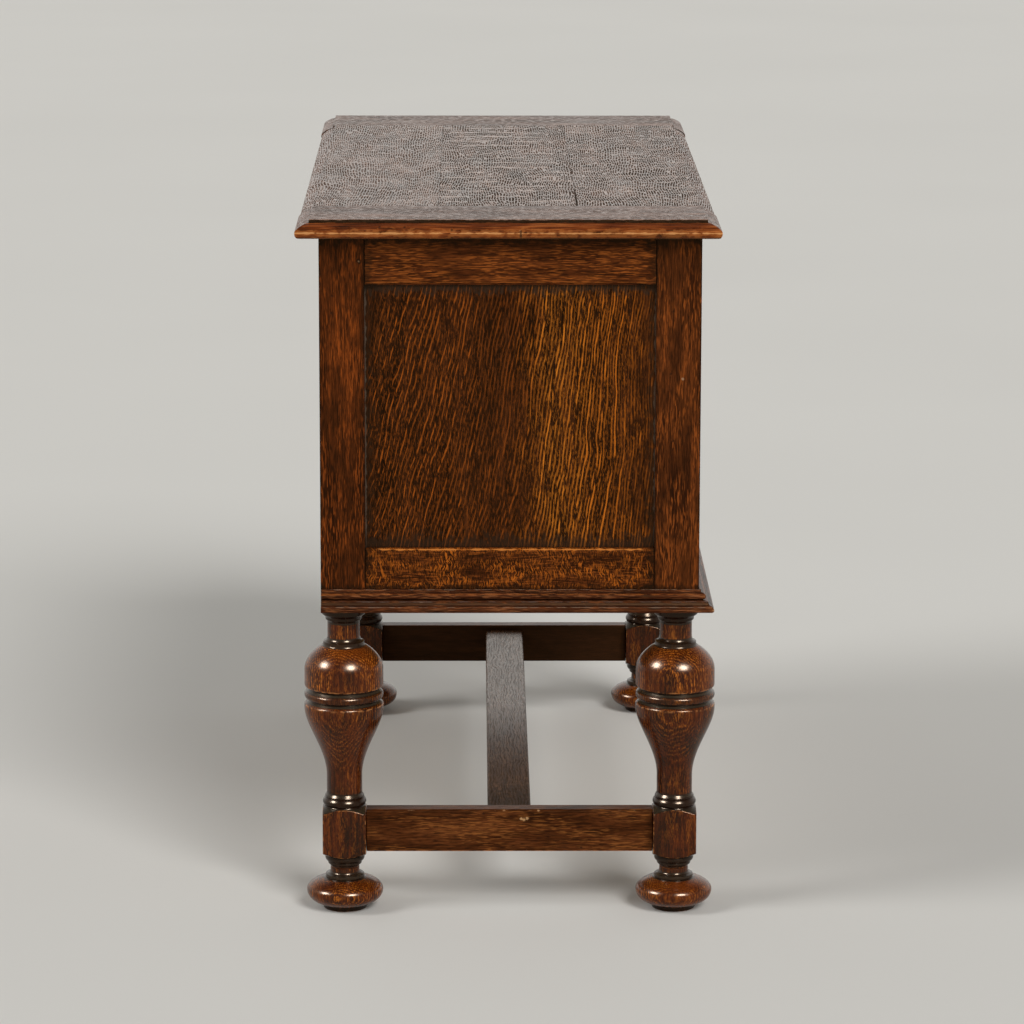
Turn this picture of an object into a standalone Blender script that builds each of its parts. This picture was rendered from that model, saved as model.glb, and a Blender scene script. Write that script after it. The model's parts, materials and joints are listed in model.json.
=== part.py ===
"""Oak blanket chest: a framed and panelled box under a clamped lid, on four turned legs.

Metres, +Z up. The length runs along X, the front faces -Y, and the origin lies on the floor
under the middle of the lid.
"""
import math

import bmesh
import bpy
from mathutils import Matrix, Vector
from mathutils.geometry import interpolate_bezier

# Carcase
BODY_LENGTH = 0.933
BODY_DEPTH = 0.405
BODY_HEIGHT = 0.404
POST_WIDTH = 0.048
RAIL_THICKNESS = 0.022
TOP_RAIL_HEIGHT = 0.052
BOTTOM_RAIL_HEIGHT = 0.068
PANEL_THICKNESS = 0.009
PANEL_RECESS = 0.0065
PANEL_TONGUE = 0.008
TENON_LENGTH = 0.026
TENON_THICKNESS = 0.007
TENON_SHOULDER = 0.010
MUNTIN_TENON_LENGTH = 0.016

# Stopped chamfers round the panels
RAIL_CHAMFER = 0.003
POST_CHAMFER = 0.002
RAIL_CHAMFER_STOP = 0.011
POST_CHAMFER_STOP = 0.020
CHAMFER_RUN_OUT = 0.014
CHAMFER_STAND_OFF = 0.001

# Bottom of the box
LEDGER_SIZE = 0.018
LEDGER_RISE = 0.004
BOTTOM_BOARD_THICKNESS = 0.012

# Base moulding
MOULDING_HEIGHT = 0.0235
MOULDING_PROJECTION = 0.016

# Lid
LID_THICKNESS = 0.0192
LID_END_OVERHANG = 0.0245
LID_FRONT_OVERHANG = 0.020
LID_BACK_OVERHANG = 0.0245
LID_EDGE_WIDTH = 0.015
CLEAT_WIDTH = 0.121
LID_TONGUE_LENGTH = 0.018
LID_TONGUE_THICKNESS = 0.007
LID_TONGUE_STOP = 0.028
BOARD_SHRINKAGE = 0.0014

# Legs, feet and stretchers
LEG_HEIGHT = 0.336
LEG_BLOCK = 0.047
BLOCK_TOP = 0.114
BLOCK_BOTTOM = 0.060
BLOCK_SHOULDER = 0.006
BULB_RADIUS = 0.0426
NECK_RADIUS = 0.0175
ANKLE_RADIUS = 0.0157
LEG_DOWEL_RADIUS = 0.008
LEG_DOWEL_LENGTH = 0.030
FOOT_HEIGHT = 0.046
FOOT_RADIUS = 0.0415
FOOT_SPIGOT_RADIUS = 0.009
FOOT_SPIGOT_LENGTH = 0.020
STRETCHER_BOTTOM = 0.065
STRETCHER_HEIGHT = 0.0465
STRETCHER_THICKNESS = 0.022
STRETCHER_TENON_LENGTH = 0.018
STRETCHER_ROUND = 0.0025
CENTRE_STRETCHER_WIDTH = 0.047
CENTRE_STRETCHER_THICKNESS = 0.022
CENTRE_STRETCHER_DROP = 0.0065
TURNING_SIDES = 16

# Butt hinges under the back overhang of the lid
HINGE_INSET = 0.1965
HINGE_LENGTH = 0.064
HINGE_KNUCKLES = 5
KNUCKLE_RADIUS = 0.0035
LEAF_THICKNESS = 0.0018
LEAF_WIDTH = 0.0165
HINGE_PIN_RADIUS = 0.0013
PIN_HEAD_RADIUS = 0.0026
PIN_HEAD_HEIGHT = 0.0012
HINGE_BORE_RADIUS = 0.0017
KNUCKLE_SIDES = 10
SCREWS_PER_LEAF = 3
SCREW_HEAD_RADIUS = 0.0029
SCREW_SHANK_RADIUS = 0.0016

# Gap left between pieces that touch, and how far a cutter overshoots what it cuts
FIT = 0.0003
OVERSHOOT = 0.004

# Places that follow from those sizes
LID_LENGTH = BODY_LENGTH + 2 * LID_END_OVERHANG
LID_DEPTH = BODY_DEPTH + LID_FRONT_OVERHANG + LID_BACK_OVERHANG
LEFT = -BODY_LENGTH / 2
RIGHT = BODY_LENGTH / 2
FRONT = LID_FRONT_OVERHANG - LID_DEPTH / 2
BACK = LID_DEPTH / 2 - LID_BACK_OVERHANG
BODY_TOP = LEG_HEIGHT + BODY_HEIGHT
OPENING_LOW = LEG_HEIGHT + BOTTOM_RAIL_HEIGHT
OPENING_HIGH = BODY_TOP - TOP_RAIL_HEIGHT
TENON_DEPTH = PANEL_RECESS
LID_UNDER = BODY_TOP + FIT
LID_TOP = LID_UNDER + LID_THICKNESS
LEG_INSET = LEG_BLOCK / 2
HINGE_X = BODY_LENGTH / 2 - HINGE_INSET
HINGE_Y = BACK + FIT + KNUCKLE_RADIUS
HINGE_Z = LID_UNDER - FIT - KNUCKLE_RADIUS

# Each side: the axis it runs along, its outer face, and the way in from that face
SIDES = {
    "front": ("X", FRONT, 1),
    "back": ("X", BACK, -1),
    "left_end": ("Y", LEFT, 1),
    "right_end": ("Y", RIGHT, -1),
}

for old in list(bpy.data.objects):
    bpy.data.objects.remove(old, do_unlink=True)

PARTS = bpy.data.collections.new("blanket_chest")
CUTTERS = bpy.data.collections.new("cutters")
for group in (PARTS, CUTTERS):
    bpy.context.scene.collection.children.link(group)


def finish(name, colour, roughness, metallic=0.0):
    """A plain material with one colour (linear RGB)."""
    material = bpy.data.materials.new(name)
    material.use_nodes = True
    shader = material.node_tree.nodes["Principled BSDF"]
    shader.inputs["Base Color"].default_value = (*colour, 1.0)
    shader.inputs["Roughness"].default_value = roughness
    shader.inputs["Metallic"].default_value = metallic
    material.diffuse_color = (*colour, 1.0)
    return material


FRAME_OAK = finish("frame_oak", (0.085, 0.034, 0.014), 0.32)
PANEL_OAK = finish("panel_oak", (0.095, 0.036, 0.013), 0.30)
TURNED_OAK = finish("turned_oak", (0.070, 0.027, 0.012), 0.24)
LID_OAK = finish("lid_oak", (0.120, 0.056, 0.026), 0.34)
BOTTOM_DEAL = finish("bottom_deal", (0.260, 0.150, 0.075), 0.65)
HINGE_STEEL = finish("hinge_steel", (0.180, 0.165, 0.150), 0.42, 1.0)


def pivot(name, place, parent=None):
    """An empty that carries pieces, such as the lid on its hinge line."""
    empty = bpy.data.objects.new(name, None)
    empty.empty_display_size = 0.05
    PARTS.objects.link(empty)
    empty.parent = parent
    empty.location = Vector(place) - (parent.location if parent else Vector())
    return empty


CHEST = pivot("chest", (0, 0, 0))
LID = pivot("lid_hinge_line", (0, HINGE_Y, HINGE_Z), CHEST)


def piece(name, mesh, place, material, carrier=CHEST, turn=None):
    """A visible sub-part at a place given in world coordinates."""
    obj = bpy.data.objects.new(name, mesh)
    PARTS.objects.link(obj)
    mesh.materials.append(material)
    obj.parent = carrier
    obj.location = Vector(place) - carrier.location
    if turn is not None:
        obj.rotation_euler = turn.to_euler()
    return obj


def tool(name, mesh, place, turn=None):
    """A cutting or joining shape that isn't itself a sub-part."""
    obj = bpy.data.objects.new(name, mesh)
    CUTTERS.objects.link(obj)
    obj.location = place
    if turn is not None:
        obj.rotation_euler = turn.to_euler()
    obj.hide_render = True
    obj.display_type = "WIRE"
    return obj


def combine(target, operation, tools):
    for other in tools:
        boolean = target.modifiers.new(other.name, "BOOLEAN")
        boolean.operation = operation
        boolean.solver = "EXACT"
        boolean.object = other


def cut(target, *tools):
    combine(target, "DIFFERENCE", tools)


def fuse(target, *tools):
    combine(target, "UNION", tools)


def box_mesh(name, box):
    """A block between two corners, with its centre on its own origin."""
    size = Vector(box[1]) - Vector(box[0])
    bm = bmesh.new()
    bmesh.ops.create_cube(bm, size=1.0)
    bmesh.ops.scale(bm, vec=size, verts=bm.verts)
    mesh = bpy.data.meshes.new(name)
    bm.to_mesh(mesh)
    bm.free()
    return mesh


def middle(box):
    return (Vector(box[0]) + Vector(box[1])) / 2


def grown(box, margin=FIT):
    more = Vector((margin, margin, margin))
    return Vector(box[0]) - more, Vector(box[1]) + more


def block(name, box, material, carrier=CHEST):
    return piece(name, box_mesh(name, box), middle(box), material, carrier)


def tool_block(name, box):
    return tool(name, box_mesh(name, box), middle(box))


def turned_mesh(name, profile):
    """The profile of a turning, as (radius, height) points from the top down."""
    bm = bmesh.new()
    points = [bm.verts.new((radius, 0, height)) for radius, height in profile]
    for upper, lower in zip(points, points[1:]):
        bm.edges.new((upper, lower))
    mesh = bpy.data.meshes.new(name)
    bm.to_mesh(mesh)
    bm.free()
    return mesh


def spin(obj, sides=TURNING_SIDES):
    screw = obj.modifiers.new("turning", "SCREW")
    screw.axis = "Z"
    screw.steps = sides
    screw.render_steps = sides
    screw.use_merge_vertices = True
    screw.merge_threshold = 0.00001
    screw.use_smooth_shade = True
    return obj


def sweep(start, lead, follow, end, count):
    """Points along a flowing curve from start to end, without the start itself."""
    knots = [Vector((*point, 0)) for point in (start, lead, follow, end)]
    return [(point.x, point.y) for point in interpolate_bezier(*knots, count + 1)][1:]


def bead(radius, high, low, bulge, count):
    """A half-round swelling between two heights."""
    steps = [step / count for step in range(count + 1)]
    return [
        (radius + bulge * math.sin(math.pi * t), high + (low - high) * t) for t in steps
    ]


def drawn_out(name, loops, length):
    """A flat outline in XY, drawn out along Z to both sides of the origin."""
    curve = bpy.data.curves.new(name, "CURVE")
    curve.dimensions = "2D"
    curve.fill_mode = "BOTH"
    curve.extrude = length / 2
    for loop in loops:
        spline = curve.splines.new("POLY")
        spline.points.add(len(loop) - 1)
        spline.use_cyclic_u = True
        for point, (x, y) in zip(spline.points, loop):
            point.co = (x, y, 0, 1)
    holder = bpy.data.objects.new(name, curve)
    CUTTERS.objects.link(holder)
    graph = bpy.context.evaluated_depsgraph_get()
    mesh = bpy.data.meshes.new_from_object(holder.evaluated_get(graph))
    bpy.data.objects.remove(holder, do_unlink=True)
    bm = bmesh.new()
    bm.from_mesh(mesh)
    bmesh.ops.remove_doubles(bm, verts=bm.verts, dist=0.00001)
    bmesh.ops.recalc_face_normals(bm, faces=bm.faces)
    bm.to_mesh(mesh)
    bm.free()
    return mesh


def facing(outward, up=(0, 0, 1)):
    """Turns an outline's X to outward and its Y to up."""
    outward = Vector(outward)
    up = Vector(up)
    return Matrix((outward, up, outward.cross(up))).transposed()


def side_box(side, across, depth, height):
    """A box on a side of the carcase: along it, in from its outer face, and up."""
    run, face, inward = SIDES[side]
    near, far = sorted(face + inward * d for d in depth)
    if run == "X":
        return (across[0], near, height[0]), (across[1], far, height[1])
    return (near, across[0], height[0]), (far, across[1], height[1])


def side_span(side):
    return (LEFT, RIGHT) if SIDES[side][0] == "X" else (FRONT, BACK)


# Corner posts, which are the stiles of two sides each
POSTS = {}
POST_BOXES = {}
for depth_name, y_low in (("front", FRONT), ("back", BACK - POST_WIDTH)):
    for end_name, x_low in (("left", LEFT), ("right", RIGHT - POST_WIDTH)):
        corner = f"{depth_name}_{end_name}"
        POST_BOXES[corner] = (
            (x_low, y_low, LEG_HEIGHT),
            (x_low + POST_WIDTH, y_low + POST_WIDTH, BODY_TOP),
        )
        POSTS[corner] = block(f"corner_post_{corner}", POST_BOXES[corner], FRAME_OAK)

SIDE_POSTS = {
    "front": ("front_left", "front_right"),
    "back": ("back_left", "back_right"),
    "left_end": ("front_left", "back_left"),
    "right_end": ("front_right", "back_right"),
}


def add_tenon(host, receiver, name, box):
    """Fuses a tenon to its host and cuts the mortise that it enters."""
    fuse(host, tool_block(f"{name}_tenon", box))
    cut(receiver, tool_block(f"{name}_mortise", grown(box)))


def add_rail(side, name, height):
    """A rail between the two posts of a side, with a tenon at each end."""
    start, end = side_span(side)
    across = (start + POST_WIDTH + FIT, end - POST_WIDTH - FIT)
    box = side_box(side, across, (0, RAIL_THICKNESS), height)
    rail = block(f"{side}_{name}", box, FRAME_OAK)
    depth = (TENON_DEPTH, TENON_DEPTH + TENON_THICKNESS)
    tenon_height = (height[0] + TENON_SHOULDER, height[1] - TENON_SHOULDER)
    low_post, high_post = (POSTS[corner] for corner in SIDE_POSTS[side])
    reach = TENON_LENGTH - FIT
    low_across = (across[0] - reach, across[0] + OVERSHOOT)
    high_across = (across[1] - OVERSHOOT, across[1] + reach)
    add_tenon(
        rail, low_post, f"{rail.name}_low", side_box(side, low_across, depth, tenon_height)
    )
    add_tenon(
        rail, high_post, f"{rail.name}_high", side_box(side, high_across, depth, tenon_height)
    )
    return rail


def add_muntin(side, name, centre, rails):
    """An upright between the rails, tenoned into both."""
    height = (OPENING_LOW + FIT, OPENING_HIGH - FIT)
    across = (centre - POST_WIDTH / 2, centre + POST_WIDTH / 2)
    muntin = block(
        name, side_box(side, across, (0, RAIL_THICKNESS), height), FRAME_OAK
    )
    depth = (TENON_DEPTH, TENON_DEPTH + TENON_THICKNESS)
    tenon_across = (across[0] + TENON_SHOULDER, across[1] - TENON_SHOULDER)
    low = (height[0] - MUNTIN_TENON_LENGTH, height[0] + OVERSHOOT)
    high = (height[1] - OVERSHOOT, height[1] + MUNTIN_TENON_LENGTH)
    top_rail, bottom_rail = rails
    add_tenon(
        muntin, bottom_rail, f"{name}_low", side_box(side, tenon_across, depth, low)
    )
    add_tenon(
        muntin, top_rail, f"{name}_high", side_box(side, tenon_across, depth, high)
    )
    return muntin


def chamfer_tool(name, place, length, width, along):
    """A four-sided spindle that takes an arris off and runs out before its ends."""
    half = length / 2
    root = 2 * CHAMFER_STAND_OFF
    upper = [
        (0, half + root),
        (root, half),
        (root + 0.7 * width, half - 0.4 * CHAMFER_RUN_OUT),
        (root + width, half - CHAMFER_RUN_OUT),
    ]
    lower = [(radius, -height) for radius, height in reversed(upper)]
    turns = {
        "X": Matrix.Rotation(math.pi / 2, 3, "Y"),
        "Y": Matrix.Rotation(math.pi / 2, 3, "X"),
        "Z": Matrix.Identity(3),
    }
    mesh = turned_mesh(name, upper + lower)
    return spin(tool(name, mesh, place, turns[along]), 4)


def chamfer_opening(side, across, low, high, rails):
    """Stopped chamfers on the four members round one panel."""
    run, face, inward = SIDES[side]
    stand_off = CHAMFER_STAND_OFF
    outside = face - inward * stand_off
    centre = (across[0] + across[1]) / 2
    width = across[1] - across[0] - 2 * RAIL_CHAMFER_STOP
    height = OPENING_HIGH - OPENING_LOW - 2 * POST_CHAMFER_STOP
    mid_height = (OPENING_LOW + OPENING_HIGH) / 2

    def spot(along, level):
        return (along, outside, level) if run == "X" else (outside, along, level)

    top_rail, bottom_rail = rails
    edges = (
        (top_rail, spot(centre, OPENING_HIGH - stand_off), width, RAIL_CHAMFER, run),
        (bottom_rail, spot(centre, OPENING_LOW + stand_off), width, RAIL_CHAMFER, run),
        (low, spot(across[0] + stand_off, mid_height), height, POST_CHAMFER, "Z"),
        (high, spot(across[1] - stand_off, mid_height), height, POST_CHAMFER, "Z"),
    )
    for number, (member, place, length, size, along) in enumerate(edges):
        name = f"{side}_{centre:.3f}_chamfer_{number}"
        cut(member, chamfer_tool(name, place, length, size, along))


def framed_side(side, panel_names, muntin_names, chamfered):
    """Rails, uprights and panels between the two posts of one side."""
    rails = (
        add_rail(side, "top_rail", (OPENING_HIGH, BODY_TOP)),
        add_rail(side, "bottom_rail", (LEG_HEIGHT, OPENING_LOW)),
    )
    start, end = side_span(side)
    inner = end - start - 2 * POST_WIDTH
    bay = (inner - POST_WIDTH * len(muntin_names)) / len(panel_names)
    low_post, high_post = (POSTS[corner] for corner in SIDE_POSTS[side])
    uprights = [low_post]
    for number, name in enumerate(muntin_names):
        centre = start + POST_WIDTH + (number + 1) * bay + (number + 0.5) * POST_WIDTH
        uprights.append(add_muntin(side, name, centre, rails))
    uprights.append(high_post)
    for number, name in enumerate(panel_names):
        left_edge = start + POST_WIDTH + number * (bay + POST_WIDTH)
        across = (left_edge, left_edge + bay)
        tongue = PANEL_TONGUE - FIT
        panel_box = side_box(
            side,
            (across[0] - tongue, across[1] + tongue),
            (PANEL_RECESS, PANEL_RECESS + PANEL_THICKNESS),
            (OPENING_LOW - tongue, OPENING_HIGH + tongue),
        )
        block(name, panel_box, PANEL_OAK)
        groove = tool_block(f"{name}_groove", grown(panel_box))
        low, high = uprights[number], uprights[number + 1]
        for member in (*rails, low, high):
            cut(member, groove)
        if chamfered:
            chamfer_opening(side, across, low, high, rails)
    return rails


framed_side("left_end", ["left_end_panel"], [], True)
framed_side("right_end", ["right_end_panel"], [], True)
framed_side(
    "front",
    ["front_panel_left", "front_panel_middle", "front_panel_right"],
    ["front_muntin_left", "front_muntin_right"],
    True,
)
framed_side("back", ["back_panel_left", "back_panel_right"], ["back_muntin"], False)

# Ledgers inside the bottom rails, and the boards that lie on them
LEDGER_LOW = LEG_HEIGHT + LEDGER_RISE
LEDGER_HIGH = LEDGER_LOW + LEDGER_SIZE
for side in SIDES:
    start, end = side_span(side)
    ledger_across = (start + POST_WIDTH + FIT, end - POST_WIDTH - FIT)
    ledger_depth = (RAIL_THICKNESS + FIT, RAIL_THICKNESS + LEDGER_SIZE)
    ledger_box = side_box(side, ledger_across, ledger_depth, (LEDGER_LOW, LEDGER_HIGH))
    block(f"bottom_ledger_{side}", ledger_box, BOTTOM_DEAL)

BOTTOM_BOARD_NAMES = ("front", "middle", "back")
floor_front = FRONT + RAIL_THICKNESS + FIT
floor_width = BODY_DEPTH - 2 * RAIL_THICKNESS - 2 * FIT
board_width = floor_width / len(BOTTOM_BOARD_NAMES)
floor_half = BODY_LENGTH / 2 - RAIL_THICKNESS - FIT
floor_low = LEDGER_HIGH + FIT
post_notches = {
    corner: tool_block(f"{corner}_notch", grown(POST_BOXES[corner])) for corner in POSTS
}
for number, name in enumerate(BOTTOM_BOARD_NAMES):
    board_front = floor_front + number * board_width
    board_box = (
        (-floor_half, board_front, floor_low),
        (floor_half, board_front + board_width - FIT, floor_low + BOTTOM_BOARD_THICKNESS),
    )
    board = block(f"bottom_board_{name}", board_box, BOTTOM_DEAL)
    for corner, notch in post_notches.items():
        if corner.startswith(name):
            cut(board, notch)


# Base moulding, planted on the front and the two ends and mitred at the front corners
def base_moulding_outline():
    """Top arris, bead, fillet, hollow and bottom torus, as distance out and height."""
    out = MOULDING_PROJECTION
    high = MOULDING_HEIGHT
    points = [(FIT, 0), (FIT, high), (0.13 * out, high), (0.13 * out, 0.885 * high)]
    points += [
        (0.21 * out + 0.25 * out * math.sin(a), 0.70 * high + 0.165 * high * math.cos(a))
        for a in (math.pi / 9, math.pi / 3, math.pi / 2, 2 * math.pi / 3, 8 * math.pi / 9)
    ]
    points += [(0.28 * out, 0.525 * high), (0.60 * out, 0.495 * high)]
    points += [(0.62 * out, 0.43 * high), (0.69 * out, 0.33 * high), (0.88 * out, 0.285 * high)]
    torus = 0.13 * high
    points += [
        (out - torus + torus * math.sin(a), torus + torus * math.cos(a))
        for a in (math.pi / 6, math.pi / 3, math.pi / 2, 2 * math.pi / 3, 5 * math.pi / 6)
    ]
    points.append((out - 1.4 * torus, 0))
    return points


def base_moulding(name, outward, start, end, mitred):
    """One run of moulding. Its mitred ends lengthen with the distance out."""
    turn = facing(outward)
    along = turn.col[2]
    span = Vector(end) - Vector(start)
    mesh = drawn_out(name, [base_moulding_outline()], span.length - 2 * FIT)
    low_mitre, high_mitre = mitred if along.dot(span) > 0 else mitred[::-1]
    for vertex in mesh.vertices:
        if vertex.co.z > 0 and high_mitre:
            vertex.co.z += vertex.co.x
        elif vertex.co.z < 0 and low_mitre:
            vertex.co.z -= vertex.co.x
    return piece(name, mesh, (Vector(start) + Vector(end)) / 2, FRAME_OAK, CHEST, turn)


front_left_foot = (LEFT, FRONT, LEG_HEIGHT)
front_right_foot = (RIGHT, FRONT, LEG_HEIGHT)
back_left_foot = (LEFT, BACK, LEG_HEIGHT)
back_right_foot = (RIGHT, BACK, LEG_HEIGHT)
both_ends = (True, True)
front_only = (True, False)
base_moulding("base_moulding_front", (0, -1, 0), front_left_foot, front_right_foot, both_ends)
base_moulding("base_moulding_left", (-1, 0, 0), front_left_foot, back_left_foot, front_only)
base_moulding("base_moulding_right", (1, 0, 0), front_right_foot, back_right_foot, front_only)


# Lid: three boards between two clamping cleats, with a thumbnail moulding all round
def lid_edge_outline():
    """What the moulding plane takes off, as distance out from the nose and height."""
    high = LID_THICKNESS
    wide = LID_EDGE_WIDTH
    step_foot = (-0.97 * wide, 0.83 * high)
    nose_top = (-0.10 * wide, 0.49 * high)
    points = [(-wide, high), step_foot]
    points += sweep(
        step_foot, (-0.70 * wide, 0.80 * high), (-0.35 * wide, 0.67 * high), nose_top, 4
    )
    points += sweep(nose_top, (0, 0.44 * high), (0, 0.36 * high), (0, 0.29 * high), 2)
    points += sweep((0, 0.29 * high), (0, 0.15 * high), (-0.1 * wide, 0), (-0.3 * wide, 0), 3)
    outside = OVERSHOOT
    points += [
        (-0.3 * wide, -outside),
        (outside, -outside),
        (outside, high + outside),
        (-wide, high + outside),
    ]
    return points


def lid_edge_tool(name, outward, place, length):
    mesh = drawn_out(name, [lid_edge_outline()], length)
    return tool(name, mesh, place, facing(outward))


reach = LID_LENGTH + LID_DEPTH
half_depth = LID_DEPTH / 2
board_edge = half_depth - BOARD_SHRINKAGE
CLEAT_EDGES = {
    "front": lid_edge_tool("cleat_front_edge", (0, -1, 0), (0, -half_depth, LID_UNDER), reach),
    "back": lid_edge_tool("cleat_back_edge", (0, 1, 0), (0, half_depth, LID_UNDER), reach),
}
BOARD_EDGES = {
    "front": lid_edge_tool("board_front_edge", (0, -1, 0), (0, -board_edge, LID_UNDER), reach),
    "back": lid_edge_tool("board_back_edge", (0, 1, 0), (0, board_edge, LID_UNDER), reach),
}
LID_BOARD_NAMES = ("front", "middle", "back")
lid_board_width = 2 * board_edge / len(LID_BOARD_NAMES)
board_half = LID_LENGTH / 2 - CLEAT_WIDTH - FIT
tongue_low = LID_UNDER + (LID_THICKNESS - LID_TONGUE_THICKNESS) / 2 - 0.001
tongue_high = tongue_low + LID_TONGUE_THICKNESS
tongue_edge = board_edge - LID_TONGUE_STOP
LID_BOARDS = {}
for number, name in enumerate(LID_BOARD_NAMES):
    board_front = -board_edge + number * lid_board_width
    board_back = board_front + lid_board_width - FIT
    LID_BOARDS[name] = block(
        f"lid_board_{name}",
        ((-board_half, board_front, LID_UNDER), (board_half, board_back, LID_TOP)),
        LID_OAK,
        LID,
    )
    tongue_front = max(board_front, -tongue_edge) + FIT
    tongue_back = min(board_back, tongue_edge) - FIT
    for end_name, way in (("left", -1), ("right", 1)):
        ends = sorted((way * (board_half - OVERSHOOT), way * (board_half + LID_TONGUE_LENGTH)))
        tongue_box = (
            (ends[0], tongue_front, tongue_low),
            (ends[1], tongue_back, tongue_high),
        )
        fuse(LID_BOARDS[name], tool_block(f"lid_board_{name}_{end_name}_tongue", tongue_box))
    if name in BOARD_EDGES:
        cut(LID_BOARDS[name], BOARD_EDGES[name])

for end_name, way in (("left", -1), ("right", 1)):
    inner_end = way * (LID_LENGTH / 2 - CLEAT_WIDTH)
    outer_end = way * LID_LENGTH / 2
    ends = sorted((inner_end, outer_end))
    cleat = block(
        f"lid_cleat_{end_name}",
        ((ends[0], -half_depth, LID_UNDER), (ends[1], half_depth, LID_TOP)),
        LID_OAK,
        LID,
    )
    groove_ends = sorted(
        (inner_end - way * OVERSHOOT, inner_end + way * (LID_TONGUE_LENGTH + FIT))
    )
    groove_box = (
        (groove_ends[0], -tongue_edge, tongue_low - FIT),
        (groove_ends[1], tongue_edge, tongue_high + FIT),
    )
    end_edge = lid_edge_tool(
        f"cleat_{end_name}_edge", (way, 0, 0), (outer_end, 0, LID_UNDER), reach
    )
    cut(cleat, tool_block(f"lid_cleat_{end_name}_groove", groove_box))
    cut(cleat, end_edge, CLEAT_EDGES["front"], CLEAT_EDGES["back"])


# Legs: turned cup-and-cover balusters over square blocks
def leg_profile():
    """From the dowel at the top down to the ring that sits on the bun foot."""
    top = LEG_HEIGHT - FIT
    drawn_height = 0.2217
    stretch = (top - BLOCK_TOP) / drawn_height
    bulb = BULB_RADIUS
    neck = NECK_RADIUS
    corner = LEG_BLOCK / math.sqrt(2) + 0.0004

    dowel_top = drawn_height + LEG_DOWEL_LENGTH / stretch
    upper = [
        (0, dowel_top),
        (LEG_DOWEL_RADIUS, dowel_top),
        (LEG_DOWEL_RADIUS, drawn_height),
    ]
    # Collar under the carcase, then the upper neck with its flared ring
    upper += [(0.0238, drawn_height), (0.0238, 0.2150)]
    upper += sweep((0.0238, 0.2150), (0.0236, 0.2128), (0.0200, 0.2130), (0.0196, 0.2098), 2)
    upper += [(0.0196, 0.2082), (neck, 0.2062), (neck, 0.1905)]
    upper += sweep((neck, 0.1905), (neck, 0.1862), (0.0190, 0.1840), (0.0222, 0.1837), 2)
    upper += [(0.0222, 0.1812)]
    # The cover, swelling to its straight wall
    upper += [(0.0228, 0.1795)]
    upper += sweep((0.0228, 0.1795), (0.0300, 0.1755), (bulb, 0.1655), (bulb, 0.1525), 4)
    upper += [(bulb, 0.1356), (bulb - 0.0010, 0.1338)]
    # Two undercut grooves, each with a sloping floor, and the roll between them
    upper += [(bulb - 0.0042, 0.1326), (bulb - 0.0010, 0.1284)]
    upper += [(bulb + 0.0002, 0.1260), (bulb - 0.0004, 0.1222)]
    upper += [(bulb - 0.0042, 0.1204), (bulb - 0.0008, 0.1162)]
    # The cup, drawn in to the lower neck
    rim = (bulb + 0.0003, 0.1145)
    lip = (bulb + 0.0003, 0.1105)
    upper += [rim, lip]
    upper += sweep(lip, (bulb, 0.0895), (0.0184, 0.0630), (0.0192, 0.0330), 6)
    upper += [(0.0192, 0.0150), (0.0212, 0.0118), (0.0208, 0.0106)]
    upper += bead(0.0216, 0.0098, 0.0010, 0.0020, 3)

    foot_joint = FOOT_HEIGHT + FIT
    lower = [
        (LEG_BLOCK / 2 - 0.0013, BLOCK_TOP + 0.0004),
        (corner, BLOCK_TOP - BLOCK_SHOULDER),
        (corner, BLOCK_BOTTOM + BLOCK_SHOULDER),
        (LEG_BLOCK / 2 - 0.0003, BLOCK_BOTTOM),
    ]
    # Two rings and the ankle that meets the foot
    shank = BLOCK_BOTTOM - foot_joint
    rings = [(0.0213, 0.84), (0.0206, 0.50), (0.0180, 0.42), (0.0182, 0.22)]
    rings += [(ANKLE_RADIUS, 0.10), (ANKLE_RADIUS, 0), (0, 0)]
    lower += [(radius, foot_joint + share * shank) for radius, share in rings]
    return [(radius, BLOCK_TOP + height * stretch) for radius, height in upper] + lower


def foot_profile():
    """A bun foot with a spigot that enters the leg."""
    wide = FOOT_RADIUS
    high = FOOT_HEIGHT
    points = [(0, high + FOOT_SPIGOT_LENGTH), (FOOT_SPIGOT_RADIUS, high + FOOT_SPIGOT_LENGTH)]
    neck = ANKLE_RADIUS
    points += [(FOOT_SPIGOT_RADIUS, high), (neck, high), (neck, 0.92 * high)]
    points += sweep(
        (neck, 0.92 * high), (neck, 0.85 * high), (0.0180, 0.83 * high), (0.0210, 0.825 * high), 2
    )
    points += [(0.0212, 0.765 * high), (0.0216, 0.735 * high)]
    points += sweep(
        (0.0216, 0.735 * high), (0.0310, 0.70 * high), (wide, 0.59 * high), (wide, 0.445 * high), 4
    )
    points += sweep(
        (wide, 0.445 * high), (wide, 0.29 * high), (0.87 * wide, 0.18 * high), (0.0272, 0.125 * high), 3
    )
    points += [(0.0240, 0.105 * high), (0.0235, 0), (0, 0)]
    return points


def square_collar(name, place):
    """Cuts a turning square between two heights, leaving a block of LEG_BLOCK."""
    half = LEG_BLOCK / 2
    outer = 2 * BULB_RADIUS
    loops = [
        [(-size, -size), (size, -size), (size, size), (-size, size)] for size in (outer, half)
    ]
    high = BLOCK_TOP + 0.0002
    low = BLOCK_BOTTOM - 0.0004
    mesh = drawn_out(name, loops, high - low)
    return tool(name, mesh, (*place, (high + low) / 2))


LEG_AXES = {
    "front_left": (LEFT + LEG_INSET, FRONT + LEG_INSET),
    "front_right": (RIGHT - LEG_INSET, FRONT + LEG_INSET),
    "back_left": (LEFT + LEG_INSET, BACK - LEG_INSET),
    "back_right": (RIGHT - LEG_INSET, BACK - LEG_INSET),
}


def round_tool(name, radius, low, high, place):
    """A plain round cutter for a dowel hole."""
    profile = [(0, high), (radius, high), (radius, low), (0, low)]
    return spin(tool(name, turned_mesh(name, profile), (*place, 0)), TURNING_SIDES)


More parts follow.
